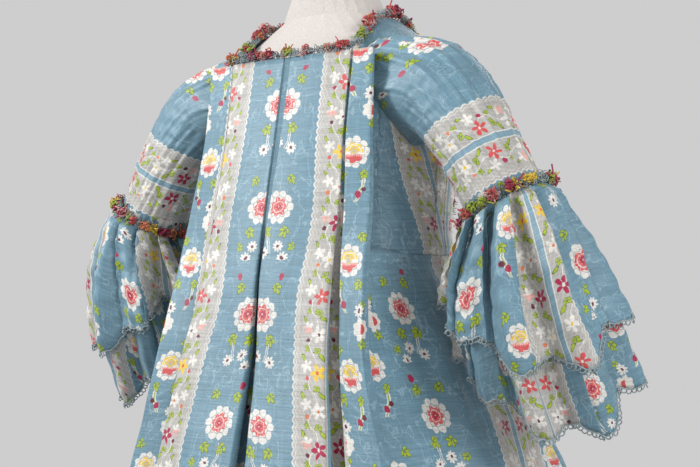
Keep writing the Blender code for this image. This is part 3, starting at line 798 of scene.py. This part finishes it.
def look_named(name):
    """A finish, made once."""
    hues = bpy.context.scene.gown_colours
    finish = "gown_" + name
    found = bpy.data.materials.get(finish)
    if found:
        return found
    if name == "brocade":
        return brocade(finish)
    if name == "side_brocade":
        return brocade(finish, SIDE_ROSE_AT, SIDE_FIGURED_FROM)
    if name == "sleeve_brocade":
        return brocade(finish, SLEEVE_ROSE_AT)
    if name == "form_cover":
        return plain_look(finish, hues.form, 900.0, 0.75)
    if name == "painted_steel":
        return plain_look(finish, hues.steel, 250.0, 0.42, metallic=0.6, bump=0.08)
    return plain_look(finish, getattr(hues, name), 1500.0, 0.65, sheen=0.08, spread=0.5)


# Shapes


def rounded(lines, radius, between):
    """Lines of points, one to a row, with their corners turned on small curves and their runs divided."""
    steps = np.diff(lines, axis=1)
    lengths = np.linalg.norm(steps, axis=-1, keepdims=True)
    ways = steps / lengths
    out = []
    leave = lines[:, 0]
    for k, count in enumerate(between):
        last = k == len(between) - 1
        corner = lines[:, k + 1]
        if last:
            enter = corner
        else:
            reach = np.minimum(radius, 0.45 * np.minimum(lengths[:, k], lengths[:, k + 1]))
            enter = corner - ways[:, k] * reach
        for share in np.arange(count) / count:
            out.append(leave + (enter - leave) * share)
        if last:
            out.append(enter)
        else:
            leave = corner + ways[:, k + 1] * reach
            for t in (0.0, 0.25, 0.5, 0.75):
                out.append(enter * (1 - t) ** 2 + corner * 2 * t * (1 - t) + leave * t * t)
    return np.stack(out, 1)


def sack_y(middle_y, edge_y, half_width, x):
    return middle_y + (edge_y - middle_y) * (x / half_width) ** 2


def sack_shape(side, rows=120):
    """Half of the back's pleated block: its folded layers at each height, on soft uneven waves below."""
    z = HEM_Z + (NECKLINE_Z - HEM_Z) * (np.arange(rows) / (rows - 1))
    middle_y, edge_y, half_width = (read(SACK, name, z) for name in ("middle_y", "edge_y", "half_width"))
    slit = straight(SACK, "slit_" + side, z)
    deep = read(SACK, "deep", z)
    blue = read(SACK, "blue_" + side, z)
    lap = UNDER_LAP
    down = (NECKLINE_Z - z) / (NECKLINE_Z - HEM_Z)
    phase = 0.0 if side == "left" else 1.7
    layer = blue + CREAM_SHOWN
    gap = straight(SACK, "gap_" + side, z)
    shut = 0.22 + 0.78 * smooth_step((1.10 - z) / 0.14)
    step = deep * (0.40 + 0.60 * smooth_step((1.17 - z) / 0.22))
    corners = (
        (0.0004 + 0 * z, 2 * deep * shut),
        (slit + lap, 2 * deep * shut),
        (slit + lap, deep * shut),
        (slit, deep * shut),
        (slit, 0 * z),
        ((slit + layer) / 2, 0 * z),
        (layer, 0 * z),
        (layer, step),
        (layer - lap, step),
        (layer - lap, 2 * step),
        (layer + gap, 2.3 * step),
        (layer + gap + 0.002, 1.1 * step),
        (half_width, 0.3 * deep),
        (half_width, 1.8 * deep),
        (half_width - lap, 3.0 * deep),
    )
    lines = np.stack([np.stack(corner, -1) for corner in corners], 1)
    section = rounded(lines, FOLD_RADIUS, SECTION_STEPS)
    x, depth = section[..., 0], section[..., 1]
    run = arc(section, 1)
    scallop = (slit + lap) + 2 * deep + lap + (blue - slit)
    across = CREAM_HALF + scallop[:, None] - run
    edge = np.argmin(np.abs(x - half_width[:, None]) + np.abs(depth - 0.3 * deep[:, None]), axis=1)
    run_edge = run[np.arange(rows), edge]
    under = np.arange(x.shape[1]) > UNDER_COLUMN
    across = np.where(under[None, :], run_edge[:, None] - run - 0.097 - 0.02 * down[:, None], across)
    y = sack_y(middle_y[:, None], edge_y[:, None], half_width[:, None], x) - depth
    heights = np.broadcast_to(z[:, None], x.shape)
    lift = down[:, None] ** 0.8
    y = y + lift * 0.0030 * waves((x * 38 + heights * 5 + phase, 1.0), (x * 83 - heights * 7, 0.5))
    y = y + lift * 0.0007 * waves((heights * 95 + x * 20, 1.0), (heights * 61 - x * 33 + phase, 0.8))
    points = np.stack((x, y, heights), -1)
    fall = np.linalg.norm(np.diff(np.stack((middle_y, z), -1), axis=0), axis=-1)
    along = np.concatenate((np.cumsum(fall[::-1])[::-1], [0.0]))
    places = np.stack((across, np.broadcast_to(along[:, None], x.shape)), -1)
    grid = points[:, ::-1], places[:, ::-1]
    return grid if side == "left" else mirrored(grid)


def skirt_shape(rows=80, columns=200):
    """Half of the skirt: from behind the block round the hip to the open front, on hanging folds."""
    z = HEM_Z + (WAIST_Z - 0.0005 - HEM_Z) * (np.arange(rows - 1) / (rows - 2)) ** 0.9
    z = np.append(z, WAIST_Z + 0.006)[:, None]
    square = 2.4 + (SKIRT_SQUARE - 2.4) * smooth_step((WAIST_Z - z) / 0.06)
    share = (np.arange(columns) / (columns - 1))[None, :]
    half_width, front_y, back_y, fold = (read(SKIRT, name, z) for name in SkirtRow._fields[1:])
    opening = 0.004 + 0.076 * (WAIST_Z - z) / WAIST_Z
    end = 180 - np.degrees(np.arcsin(np.minimum(1, (opening / half_width) ** (SKIRT_SQUARE / 2))))
    angle = 40.0 + (end - 40.0) * share
    wave = np.sin(10 * pi * share) + 0.4 * np.sin(23 * pi * share)
    small = waves((share * 74 + np.sin(share * 9) * 3 + z * 2, 0.20), (share * 131 - z * 3, 0.10))
    gather = GATHER_DEPTH * np.exp(-((WAIST_Z - z) / 0.10) ** 2)
    gather = gather * np.sin(share * 150 + 2 * np.sin(share * 12))
    gather = gather * smooth_step((WAIST_Z - z) / 0.015) * smooth_step((share - 0.30) / 0.2)
    swell = np.maximum(fold, 0.0) * (wave + small) + gather
    x, y = ring(half_width + swell, front_y - swell, back_y + swell, square, angle)
    middle_y, edge_y, block_half, deep = (
        read(SACK, name, z) for name in ("middle_y", "edge_y", "half_width", "deep")
    )
    tuck_x = block_half - 0.8 * UNDER_LAP
    tuck_y = sack_y(middle_y, edge_y, block_half, tuck_x) - 3 * deep - 0.0052
    blend = smooth_step(share * 21 / 4)
    under = np.where(z > WAIST_Z, -0.0010, 0.0075)
    waist = body(np.broadcast_to(angle, x.shape), np.maximum(z, WAIST_Z) + 0 * x, LINING + under + 0 * x)
    meet = smooth_step((z - WAIST_Z + 0.040) / 0.039)
    x = x + (waist[..., 0] - x) * meet
    y = y + (waist[..., 1] - y) * meet
    x = tuck_x + (x - tuck_x) * blend
    y = tuck_y + (y - tuck_y) * blend
    points = np.stack((x, y, np.broadcast_to(z, x.shape)), -1)
    creases = waves((z * 140 + share * 40, 1.0), (z * 93 - share * 66, 0.7))
    creases = creases * smooth_step((WAIST_Z - z) / 0.02)
    points = points + normals_of(points[:, ::-1])[:, ::-1] * (0.0005 * creases * blend)[..., None]
    lace_line = np.interp(z, (HEM_Z, 0.600, 0.870, 0.950, WAIST_Z), (0.205, 0.192, 0.186, 0.172, 0.153))
    across = lace_line - 0.250 - arc(points, 1)
    along = (NECKLINE_Z - z) * 1.04 + np.zeros_like(across)
    return points[:, ::-1], np.stack((across, along), -1)[:, ::-1]


def armhole_floor(y):
    share = np.clip((y - ARMHOLE_Y) / (ARMHOLE_HALF_Y - 0.014), -1, 1)
    floor = ARMHOLE_Z - (ARMHOLE_HALF_Z - 0.016) * np.sqrt(1 - share * share)
    return np.where(np.abs(share) >= 1, BODICE_TOP_Z - 0.0005, floor)


def back_top(degrees_round):
    return armhole_floor(body(degrees_round, ARMHOLE_Z - ARMHOLE_HALF_Z / 2, 0.004)[..., 1])


def front_top(degrees_round):
    """The armhole, then the strap's foot, then the low front neckline."""
    where = body(degrees_round, ARMHOLE_Z - ARMHOLE_HALF_Z / 2, 0.004)
    low = smooth_step((STRAP_INNER - 0.004 - where[..., 0]) / 0.02)
    high = armhole_floor(where[..., 1])
    return high + (FRONT_NECK_Z - high) * low


def bodice_shape(start, end, top_of, first_across, wrinkle, rows=56, columns=70):
    """A panel of the bodice from one angle round the form to another, with strain wrinkles across it."""
    degrees_round = np.linspace(end, start, columns)[None, :]
    share = np.linspace(0, 1, rows)[:, None]
    top = top_of(degrees_round)
    z = WAIST_Z + (top - WAIST_Z) * share
    flare = 0.008 * np.clip(1 - (z - WAIST_Z) / 0.055, 0, 1) ** 2
    points = body(np.broadcast_to(degrees_round, z.shape), z, LINING + flare)
    run = arc(points[:, ::-1], 1)[:, ::-1]
    pull = waves(
        (z * 330 + run * 40 + 2 * np.sin(run * 60), 1.0),
        (z * 505 - run * 55, 0.6),
        (z * 170 + run * 25, 0.8),
    )
    pull = pull * smooth_step(share / 0.10) * smooth_step((1 - share) / 0.10)
    pull = pull * smooth_step((degrees_round - start) / 8) * smooth_step((end - degrees_round) / 8)
    points = points + normals_of(points) * (wrinkle * np.abs(pull))[..., None]
    across = first_across - run
    return points, np.stack((across, (NECKLINE_Z - z) * 1.04), -1)


def strap_point(x, way, out):
    """A point of the band over the shoulder. The way is 1 at the back foot and -1 at the front foot."""
    foot = BODICE_TOP_Z + 0.001
    heights = np.linspace(foot, NECK_TOP_Z, 400)
    widths = straight(FORM, "half_width", heights) + out
    top = heights[np.argmax(widths <= x)] if (widths <= x).any() else NECK_TOP_Z
    z = top - (top - foot) * way * way
    return body_at_x(x, z, out, way < 0) + np.array((0.0, 0.0, 0.4 * out * (1 - abs(way))))


def strap_shape():
    ways = np.linspace(-1, 1, 61)
    lines = []
    for j in range(15):
        x = STRAP_OUTER + (STRAP_INNER - STRAP_OUTER) * j / 14
        lines.append([strap_point(x, way, LINING) for way in ways])
    points = np.array(lines)
    run = arc(points, 1)
    return points, np.stack((0.150 + arc(points, 0), run - 0.30), -1)


def robing_x(z):
    share = (z - WAIST_Z) / (BODICE_TOP_Z - WAIST_Z)
    return ROBING_WAIST_X + (ROBING_TOP_X - ROBING_WAIST_X) * share


def robing_shape():
    """The folded band down the front edge, softly ruched."""
    z = np.linspace(WAIST_Z, BODICE_TOP_Z, 90)
    share = np.linspace(-0.5, 0.5, 17)
    puff = 0.0018 * np.abs(np.sin(z * 190)) + 0.0006 * np.sin(z * 77)
    rows = []
    for level, lift in zip(z, puff):
        crown = lift * (1 - (2 * share) ** 2)
        x = robing_x(level) + ROBING_WIDTH * share
        rows.append([body_at_x(a, level, 0.0087 + b, True) for a, b in zip(x, crown)])
    points = np.array(rows)
    across = np.broadcast_to(share * ROBING_WIDTH - 0.012, points.shape[:2])
    return points, np.stack((across, np.broadcast_to(((NECKLINE_Z - z) * 1.05)[:, None], across.shape)), -1)


def sleeve_frame(along):
    """The arm line's point, its direction, and the two directions across it: outward and forward."""
    a, b, c, d = SLEEVE_LINE
    rest = 1 - along
    centre = a * rest**3 + b * 3 * rest**2 * along + c * 3 * rest * along**2 + d * along**3
    run = (b - a) * rest**2 + (c - b) * 2 * rest * along + (d - c) * along**2
    run = unit(run)
    outward = unit(np.array((0.0, 0.0, 1.0)) - run * run[2])
    return centre, run, outward, np.cross(run, outward)


def sleeve_shape(rows=72, columns=140):
    """The sleeve: set into the armhole in small pleats, smooth over the elbow, with creases along it."""
    turn = 2 * pi * np.arange(columns + 1) / columns
    upper_back = smooth_step(-np.sin(turn) * 3) * smooth_step(np.cos(turn) * 3)
    lower_back = smooth_step(-np.sin(turn) * 3) * smooth_step(-np.cos(turn) * 3)
    squarer = 1 - 0.52 * upper_back + 0.45 * lower_back
    hole_half_y = ARMHOLE_HALF_Y - 0.003 + 0.006 * smooth_step(-np.sin(turn))
    hole_y = ARMHOLE_Y - hole_half_y * power(np.sin(turn), squarer)
    hole_z = ARMHOLE_Z + (ARMHOLE_HALF_Z - 0.003) * power(np.cos(turn), squarer)
    hole = np.array([body_at_y(y, z, 0.0096) for y, z in zip(hole_y, hole_z)])
    rings = []
    for along in np.linspace(0, 1, rows):
        centre, _, outward, forward = sleeve_frame(along)
        radius = float(read(SLEEVE, "radius", along))
        free = centre + radius * (np.cos(turn)[:, None] * outward + np.sin(turn)[:, None] * forward)
        rings.append(hole + (free - hole) * float(smooth_step(along / 0.22)))
    points = np.array(rings)
    share = np.linspace(0, 1, rows)[:, None]
    turns = turn[None, :]
    head = np.exp(-((share / 0.20) ** 2)) * (0.12 + 0.88 * smooth_step(np.cos(turns) + 0.2))
    pleats = HEAD_PLEAT_DEPTH * head * np.sin(turns * 16 + 1.2 * np.sin(turns * 3))
    lengthwise = waves(
        (turns * 23 + share * 5, 1.0),
        (turns * 37 - share * 9, 0.7),
        (turns * 11 + share * 3, 0.9),
    )
    crossing = waves((share * 60 + 5 * np.sin(turns * 2), 1.0), (share * 95 - 4 * np.sin(turns * 3), 0.6))
    free = smooth_step((share - 0.25 * lower_back) / 0.10) * smooth_step((1 - share) / 0.06)
    swell = pleats * smooth_step(share / 0.03) + free * (0.0009 * lengthwise + 0.0004 * crossing)
    points = points + normals_of(points[:, :-1], True)[:, list(range(columns)) + [0]] * swell[..., None]
    across = arc(points[::-1], 0)[::-1] - 0.083
    along = 0.0575 * turns + 0.021 + np.zeros_like(across)
    return points, np.stack((across, along), -1)


def bell(run):
    """How far out and how far down cloth of a given length hangs from the elbow."""
    lengths = np.linspace(0, 0.33, 200)
    slope = BELL_WIDTH / BELL_REACH * np.exp(-lengths / BELL_REACH)
    down = np.concatenate(([0.0], np.cumsum(np.sqrt(1 - slope[:-1] ** 2) * np.diff(lengths))))
    return BELL_WIDTH * (1 - np.exp(-run / BELL_REACH)), np.interp(run, lengths, down)


def flounce_shape(tier, rows=44, columns=312, phase=0.0):
    """A flounce: knife pleats crowded under the cuff, which open into deep lobes with a scalloped hem."""
    sizes = bpy.context.scene.gown_sizes
    centre, run, outward, forward = sleeve_frame(1.0)
    part = np.arange(columns + 1) / columns
    uneven = 0.010 * np.sin(2 * pi * 2 * part + 0.6) + 0.006 * np.sin(2 * pi * 5 * part + 2.0 + phase)
    count = sizes.flounce_pleats
    wave = 2 * pi * (part + uneven) * count + phase
    share = (np.arange(rows) / (rows - 1))[:, None]
    crowd = 2.3 + (0.8 - 2.3) * smooth_step((share - 0.15) / 0.80)
    turn = (2 * pi * (part + uneven))[None, :] + crowd * np.sin(wave)[None, :] / count
    over = ((1 - np.cos(turn - SHORT_AT)) / 2) ** 2
    lobe = sizes.lobe_drop * np.cos(turn * sizes.flounce_lobes)
    length = tier.short + (tier.long - tier.short) * over + lobe
    scallop = SCALLOP_DEPTH * np.abs(np.sin(pi * part * HEM_SCALLOPS))[None, :]
    length = (length + scallop - 0.004) * share
    across = np.cos(turn)[..., None] * outward + np.sin(turn)[..., None] * forward
    start = centre + run * tier.start + across * tier.radius
    level = unit(across * np.array((1.0, 1.0, 0.0)))
    full = tier.fullness * (1 - INNER_PRESS * np.maximum(0.0, -level[..., 0]))
    out, down = bell(length)
    fold = LOBE_FOLD_DEPTH * smooth_step(length / 0.10) * np.cos(turn * sizes.flounce_lobes)
    knife = KNIFE_DEPTH * (1 - 0.45 * share) * np.tanh(3.2 * np.sin(wave))[None, :]
    knife = knife * smooth_step(share / 0.05)
    crease = waves((share * 40 + part * 60, 1.0), (share * 23 - part * 90, 0.8))
    crease = 0.0009 * crease * smooth_step(share / 0.1)
    drift = DRIFT_STEADY * length + DRIFT_GROWING * length**2
    points = start + level * (out * full + fold + knife + crease)[..., None]
    points = points + np.stack((0.1 * drift, -drift, -down), -1)
    run = arc(points, 1)[rows // 4 :]
    width = run[:, -1].mean()
    across = width * (run / run[:, -1:]).mean(axis=0) + phase * 0.05
    places = np.stack(np.broadcast_arrays(across[None, :], 0.10 + arc(points, 0)), -1)
    return points, places


# Braid, fringe and trimmings


def path_places(path, step, closed=False):
    """Evenly spaced points on a path, with the way along it at each."""
    path = np.asarray(path)
    if closed:
        path = np.concatenate((path, path[:1]))
    run = np.concatenate(([0.0], np.cumsum(np.linalg.norm(np.diff(path, axis=0), axis=-1))))
    at = np.arange(int(run[-1] / step)) * step + step / 2
    spots = np.stack([np.interp(at, run, path[:, k]) for k in range(3)], -1)
    ahead = np.stack([np.interp(at + step / 2, run, path[:, k]) for k in range(3)], -1)
    return spots, unit(ahead - spots)


def tubes_mesh(name, lines, radii, sides=3):
    """One mesh of many thin threads, each a line of points; a closed line ends where it starts."""
    verts, faces = [], []
    for line, radius in zip(lines, radii):
        line = np.asarray(line)
        closed = np.allclose(line[0], line[-1])
        body_line = line[:-1] if closed else line
        count = len(body_line)
        if closed:
            ways = np.roll(body_line, -1, 0) - np.roll(body_line, 1, 0)
        else:
            ways = np.gradient(body_line, axis=0)
        ways = unit(ways)
        rough = np.where(np.abs(ways[:, 2:3]) < 0.8, np.array((0.0, 0.0, 1.0)), np.array((1.0, 0.0, 0.0)))
        side = unit(np.cross(ways, rough))
        over = np.cross(side, ways)
        base = len(verts)
        for m in range(sides):
            turn = 2 * pi * m / sides
            verts_m = body_line + radius * (cos(turn) * side + sin(turn) * over)
            verts.extend(verts_m.tolist())
        for m in range(sides):
            n = (m + 1) % sides
            low, high = base + m * count, base + n * count
            for k in range(count if closed else count - 1):
                after = (k + 1) % count
                faces.append((low + k, low + after, high + after, high + k))
        if not closed:
            faces.append(tuple(base + m * count for m in range(sides)))
            faces.append(tuple(base + m * count + count - 1 for m in reversed(range(sides))))
    mesh = bpy.data.meshes.new(name)
    mesh.from_pydata(verts, [], faces)
    work = bmesh.new()
    work.from_mesh(mesh)
    bmesh.ops.recalc_face_normals(work, faces=work.faces)
    work.to_mesh(mesh)
    work.free()
    mesh.shade_smooth()
    return mesh


def loop(middle, one, two, radius, points=9):
    """A ring of thread round a point, in the plane of two directions."""
    turns = 2 * pi * np.arange(points + 1) / points
    ring_points = middle + radius * (np.cos(turns)[:, None] * one + np.sin(turns)[:, None] * two)
    ring_points[-1] = ring_points[0]
    return ring_points


def braid_threads(hem, inner, radius, seed):
    """Two ranks of thread loops and a cord, along a cut edge. The inner line is further in on the cloth."""
    chance = random.Random(seed)
    spots, ways = path_places(hem, radius * 1.75)
    lines, radii = [], []
    for k, (spot, way) in enumerate(zip(spots, ways)):
        nearest = inner[np.argmin(np.linalg.norm(inner - spot, axis=-1))]
        down = spot - nearest
        down = unit(down - way * down.dot(way))
        through = np.cross(down, way)
        lean = unit(way + through * chance.uniform(-0.45, 0.45))
        size = radius * chance.uniform(0.86, 1.10)
        lines.append(loop(spot + down * size * 0.85, lean, down, size))
        radii.append(0.00085)
        if k % 2 == 0:
            behind = spot - down * size * 0.55 + through * 0.0012
            lines.append(loop(behind, lean, down, size * 0.72, points=7))
            radii.append(0.00070)
    lines.append(hem + 0.0)
    radii.append(0.0011)
    return lines, radii


def tuft_threads(middle, up, reach, chance):
    """A tuft of floss: short curling strands and flat loops that spring from a point."""
    lines = []
    for number in range(TUFT_STRANDS):
        way = unit(np.array([chance.gauss(0, 1) for _ in range(3)]))
        way = unit(way + up * 0.45)
        curl = np.array([chance.gauss(0, 0.6) for _ in range(3)])
        far = reach * chance.uniform(0.30, 0.85)
        if number % 4:
            side = unit(np.cross(way, curl))
            radius = far * 0.40 * chance.uniform(0.6, 1.0)
            lines.append(loop(middle + way * far * 0.60, way, side, radius, points=6))
        else:
            shares = np.array((0.0, 0.35, 0.7, 1.0))[:, None]
            lines.append(middle + 0.9 * far * (shares * way + shares**2 * curl * 0.8))
    return lines


TuftRow = namedtuple("TuftRow", "hue weight")
TUFT_HUES = (
    TuftRow("coral", 0.34),
    TuftRow("pink", 0.20),
    TuftRow("magenta", 0.12),
    TuftRow("leaf", 0.14),
    TuftRow("yellow", 0.06),
    TuftRow("orange", 0.14),
)


def fringe(stem, path, ups, step, reach, nodes, seed, closed=False, lead=("coral",)):
    """Fly fringe along a path: a looped gimp with floss tufts tied to it, one mesh to each colour."""
    chance = random.Random(seed)
    sizes = bpy.context.scene.gown_sizes
    lines, radii = [], []
    spots, ways = path_places(path, 0.0030, closed)
    for k, (spot, way) in enumerate(zip(spots, ways)):
        up = ups(spot)
        side = unit(np.cross(way, up))
        swing = sin(k * 1.1) * 0.0040
        tilt = unit(side + up * chance.uniform(-0.8, 0.8))
        middle = spot + side * swing + up * chance.uniform(-0.001, 0.002)
        lines.append(loop(middle, way, tilt, sizes.loop * chance.uniform(0.75, 1.25)))
        radii.append(0.00055)
        for _ in range(2):
            aside = side * chance.uniform(-0.0075, 0.0075) + up * chance.uniform(-0.001, 0.005)
            lines.append(loop(spot + aside, tilt, up, sizes.loop * chance.uniform(0.6, 1.2), points=7))
            radii.append(0.00062)
    threads = {"braid": (lines, radii)}
    knots, knot_ways = path_places(path, step, closed)
    hues = [row.hue for row in TUFT_HUES]
    weights = [row.weight for row in TUFT_HUES]
    for k, (spot, way) in enumerate(zip(knots, knot_ways)):
        up = ups(spot)
        centre = spot + way * chance.uniform(-0.3, 0.3) * step
        main = lead[k % len(lead)]
        for part in range(3):
            hue = main if part < 2 else chance.choices(hues, weights)[0]
            place = centre + way * chance.gauss(0, 0.0045) + up * chance.uniform(0.0, 0.005)
            size = reach * chance.uniform(0.6, 1.1)
            made = tuft_threads(place, up, size, chance)
            kept = threads.setdefault(hue, ([], []))
            kept[0].extend(made)
            kept[1].extend([chance.uniform(0.0008, 0.0016) for _ in made])
    for hue, (lines, radii) in threads.items():
        mesh = tubes_mesh(stem + "_" + hue, lines, radii)
        link(stem + "_" + hue + "_threads", mesh, look_named(hue), nodes if hue == "braid" else [])


def cuff_path(side):
    """The ring over the cuff that the fringe follows, and its middle."""
    centre, run, outward, forward = sleeve_frame(1.0)
    middle = centre + run * -CUFF_ABOVE_ELBOW
    turns = 2 * pi * np.arange(48) / 48
    path = middle + CUFF_RADIUS * (np.cos(turns)[:, None] * outward + np.sin(turns)[:, None] * forward)
    return path * np.array((side, 1.0, 1.0)), middle * np.array((side, 1.0, 1.0))


def neck_path():
    """Up one strap from the front, along the back's neckline and down the other strap."""
    out = LINING + 0.0055
    left = [strap_point(STRAP_INNER, way, out) for way in np.linspace(-0.85, 0.75, 24)]
    top = SACK[-1]
    corner = []
    for x in (0.105, 0.085, 0.06, 0.035, 0.012):
        y = sack_y(top.middle_y, top.edge_y, top.half_width, x) - top.deep
        corner.append(np.array((x, y, NECKLINE_Z + 0.004)))
    half = left + corner
    return np.array(half + [p * np.array((-1.0, 1.0, 1.0)) for p in reversed(half)])


# Operators


def stand(data, place, aim):
    """Puts a lamp or a camera at a place, turned to look at another."""
    thing = bpy.data.objects.new(data.name, data)
    thing.location = place
    thing.rotation_euler = (Vector(aim) - Vector(place)).to_track_quat("-Z", "Y").to_euler()
    bpy.context.scene.collection.objects.link(thing)
    return thing


class Piece:
    """What the operators below share."""

    bl_options = {"REGISTER", "UNDO"}


class GOWN_OT_stage(Piece, bpy.types.Operator):
    """Floor, wall, lamps and camera"""

    bl_idname = "gown.stage"
    bl_label = "Stage"

    def execute(self, context):
        scene = context.scene
        hues = scene.gown_colours
        work = bmesh.new()
        bmesh.ops.create_grid(work, x_segments=1, y_segments=1, size=FLOOR_HALF)
        mesh = bpy.data.meshes.new("floor")
        work.to_mesh(mesh)
        work.free()
        floor = bpy.data.objects.new("floor", mesh)
        floor.location = (0.0, 0.0, -0.002)
        scene.collection.objects.link(floor)
        mesh.materials.append(plain_look("floor", FLOOR_GREY, 300.0, 0.9, bump=0.02, spread=0.05))
        world = bpy.data.worlds.new("studio")
        world.use_nodes = True
        backdrop = world.node_tree.nodes["Background"]
        backdrop.inputs["Color"].default_value = (*hues.backdrop, 1.0)
        backdrop.inputs["Strength"].default_value = 1.0
        scene.world = world
        scene.view_settings.view_transform = "Standard"
        for row in LAMPS:
            lamp = bpy.data.lights.new(row.name, "AREA")
            lamp.size = row.size
            lamp.energy = row.power_w
            stand(lamp, row.place, row.aim)
        lens = bpy.data.cameras.new("camera")
        lens.lens = LENS_MM
        lens.sensor_width = 36.0
        scene.camera = stand(lens, CAMERA_PLACE, CAMERA_AIM)
        return {"FINISHED"}


class GOWN_OT_sack_back(Piece, bpy.types.Operator):
    """The double box pleats of the back, from the neck to the hem"""

    bl_idname = "gown.sack_back"
    bl_label = "Sack back"

    def execute(self, context):
        look = look_named("brocade")
        for side in ("left", "right"):
            cloth_piece("sack_back_" + side, sack_shape(side), look)
        return {"FINISHED"}


class GOWN_OT_skirt(Piece, bpy.types.Operator):
    """The skirt, open down its front"""

    bl_idname = "gown.skirt"
    bl_label = "Skirt"

    def execute(self, context):
        cloth_pair("skirt", skirt_shape(), look_named("side_brocade"))
        return {"FINISHED"}


class GOWN_OT_bodice(Piece, bpy.types.Operator):
    """Fitted back and front panels, shoulder straps and robings"""

    bl_idname = "gown.bodice"
    bl_label = "Bodice"

    def execute(self, context):
        plain, figured = look_named("side_brocade"), look_named("brocade")
        wrinkle = context.scene.gown_sizes.wrinkle
        back = bodice_shape(14.0, SIDE_SEAM - 0.2, back_top, -0.102, wrinkle)
        cloth_pair("bodice_back", back, plain)
        front = bodice_shape(SIDE_SEAM + 0.2, 179.6, front_top, -0.290, wrinkle * 0.7)
        cloth_pair("bodice_front", front, figured)
        cloth_pair("shoulder_strap", strap_shape(), plain)
        cloth_pair("robing", robing_shape(), figured)
        return {"FINISHED"}


class GOWN_OT_sleeves(Piece, bpy.types.Operator):
    """Elbow-length sleeves, pleated into the armholes"""

    bl_idname = "gown.sleeves"
    bl_label = "Sleeves"

    def execute(self, context):
        cloth_pair("sleeve", sleeve_shape(), look_named("sleeve_brocade"), True)
        return {"FINISHED"}


class GOWN_OT_flounces(Piece, bpy.types.Operator):
    """Two pleated flounces at each elbow, edged with looped braid"""

    bl_idname = "gown.flounces"
    bl_label = "Flounces"

    def execute(self, context):
        radius = context.scene.gown_sizes.loop
        for number, (stem, tier) in enumerate(TIERS.items()):
            grid = flounce_shape(tier, phase=0.9 * number)
            cloth_pair("flounce_" + stem, grid, look_named("brocade"), True)
            points = grid[0]
            lines, radii = braid_threads(points[-1], points[-5], radius, 20 + number)
            for side, flip in (("left", 1.0), ("right", -1.0)):
                turned = [line * np.array((flip, 1.0, 1.0)) for line in lines]
                piece = "edging_" + stem + "_" + side
                mesh = tubes_mesh(piece, turned, radii, sides=4)
                link(piece + "_braid", mesh, look_named("braid"), [piece])
        return {"FINISHED"}


class GOWN_OT_trimmings(Piece, bpy.types.Operator):
    """Fly fringe round the neck, over the cuffs and down the fronts"""

    bl_idname = "gown.trimmings"
    bl_label = "Trimmings"

    def execute(self, context):
        reach = context.scene.gown_sizes.tuft
        upward = np.array((0.0, 0.35, 0.94))
        turn_of_hues = ("coral", "magenta", "leaf", "coral", "pink", "coral", "leaf", "coral", "orange")
        fringe("neck", neck_path(), lambda spot: upward, 0.031, reach, ["neck_trim"], 5, lead=turn_of_hues)
        for side, flip in (("left", 1.0), ("right", -1.0)):
            path, middle = cuff_path(flip)

            def outwards(spot, middle=middle):
                return unit(spot - middle)

            cuff_hues = ("coral", "magenta", "orange", "leaf", "pink", "magenta", "yellow")
            nodes = ["cuff_trim_" + side]
            fringe("cuff_" + side, path, outwards, 0.024, reach, nodes, 11 + int(flip), True, cuff_hues)
            z = np.linspace(BODICE_TOP_Z - 0.012, WAIST_Z, 40)
            edge = [body_at_x(robing_x(a) + ROBING_WIDTH / 2, a, 0.0113, True) for a in z]
            edge = np.array(edge) * np.array((flip, 1.0, 1.0))
            ahead = np.array((0.35 * flip, -0.94, 0.0))
            nodes = ["front_trim_" + side]
            fringe("front_" + side, edge, lambda spot, way=ahead: way, 0.045, reach * 0.55, nodes, 31)
        return {"FINISHED"}


class GOWN_OT_dress_form(Piece, bpy.types.Operator):
    """Finishes of the dress form and its stand"""

    bl_idname = "gown.dress_form"
    bl_label = "Dress form"

    def execute(self, context):
        for node, finish in (
            ("form_torso", "form_cover"),
            ("form_cap", "form_cover"),
            ("form_pole", "painted_steel"),
            ("form_base", "painted_steel"),
        ):
            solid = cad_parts[node]
            solid = solid if isinstance(solid, bpy.types.Object) else bpy.data.objects[node]
            for slot in solid.material_slots:
                slot.material = look_named(finish)
        return {"FINISHED"}


ORDER = (
    GOWN_OT_stage,
    GOWN_OT_dress_form,
    GOWN_OT_sack_back,
    GOWN_OT_skirt,
    GOWN_OT_bodice,
    GOWN_OT_sleeves,
    GOWN_OT_flounces,
    GOWN_OT_trimmings,
)


class GOWN_PT_panel(bpy.types.Panel):
    """Builds each group of pieces"""

    bl_idname = "GOWN_PT_panel"
    bl_label = "Sack-back gown"
    bl_space_type = "VIEW_3D"
    bl_region_type = "UI"
    bl_category = "Gown"

    def draw(self, context):
        for group in (context.scene.gown_sizes, context.scene.gown_colours):
            for name in group.__annotations__:
                self.layout.prop(group, name)
        for operator in ORDER:
            self.layout.operator(operator.bl_idname)


CLASSES = (GownSizes, GownColours, *ORDER, GOWN_PT_panel)


def register():
    for kind in CLASSES:
        bpy.utils.register_class(kind)
    bpy.types.Scene.gown_sizes = PointerProperty(type=GownSizes)
    bpy.types.Scene.gown_colours = PointerProperty(type=GownColours)


def unregister():
    del bpy.types.Scene.gown_colours
    del bpy.types.Scene.gown_sizes
    for kind in reversed(CLASSES):
        bpy.utils.unregister_class(kind)


def main():
    register()
    for operator in ORDER:
        group, name = operator.bl_idname.split(".")
        getattr(getattr(bpy.ops, group), name)()
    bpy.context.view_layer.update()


if __name__ == "__main__":
    main()
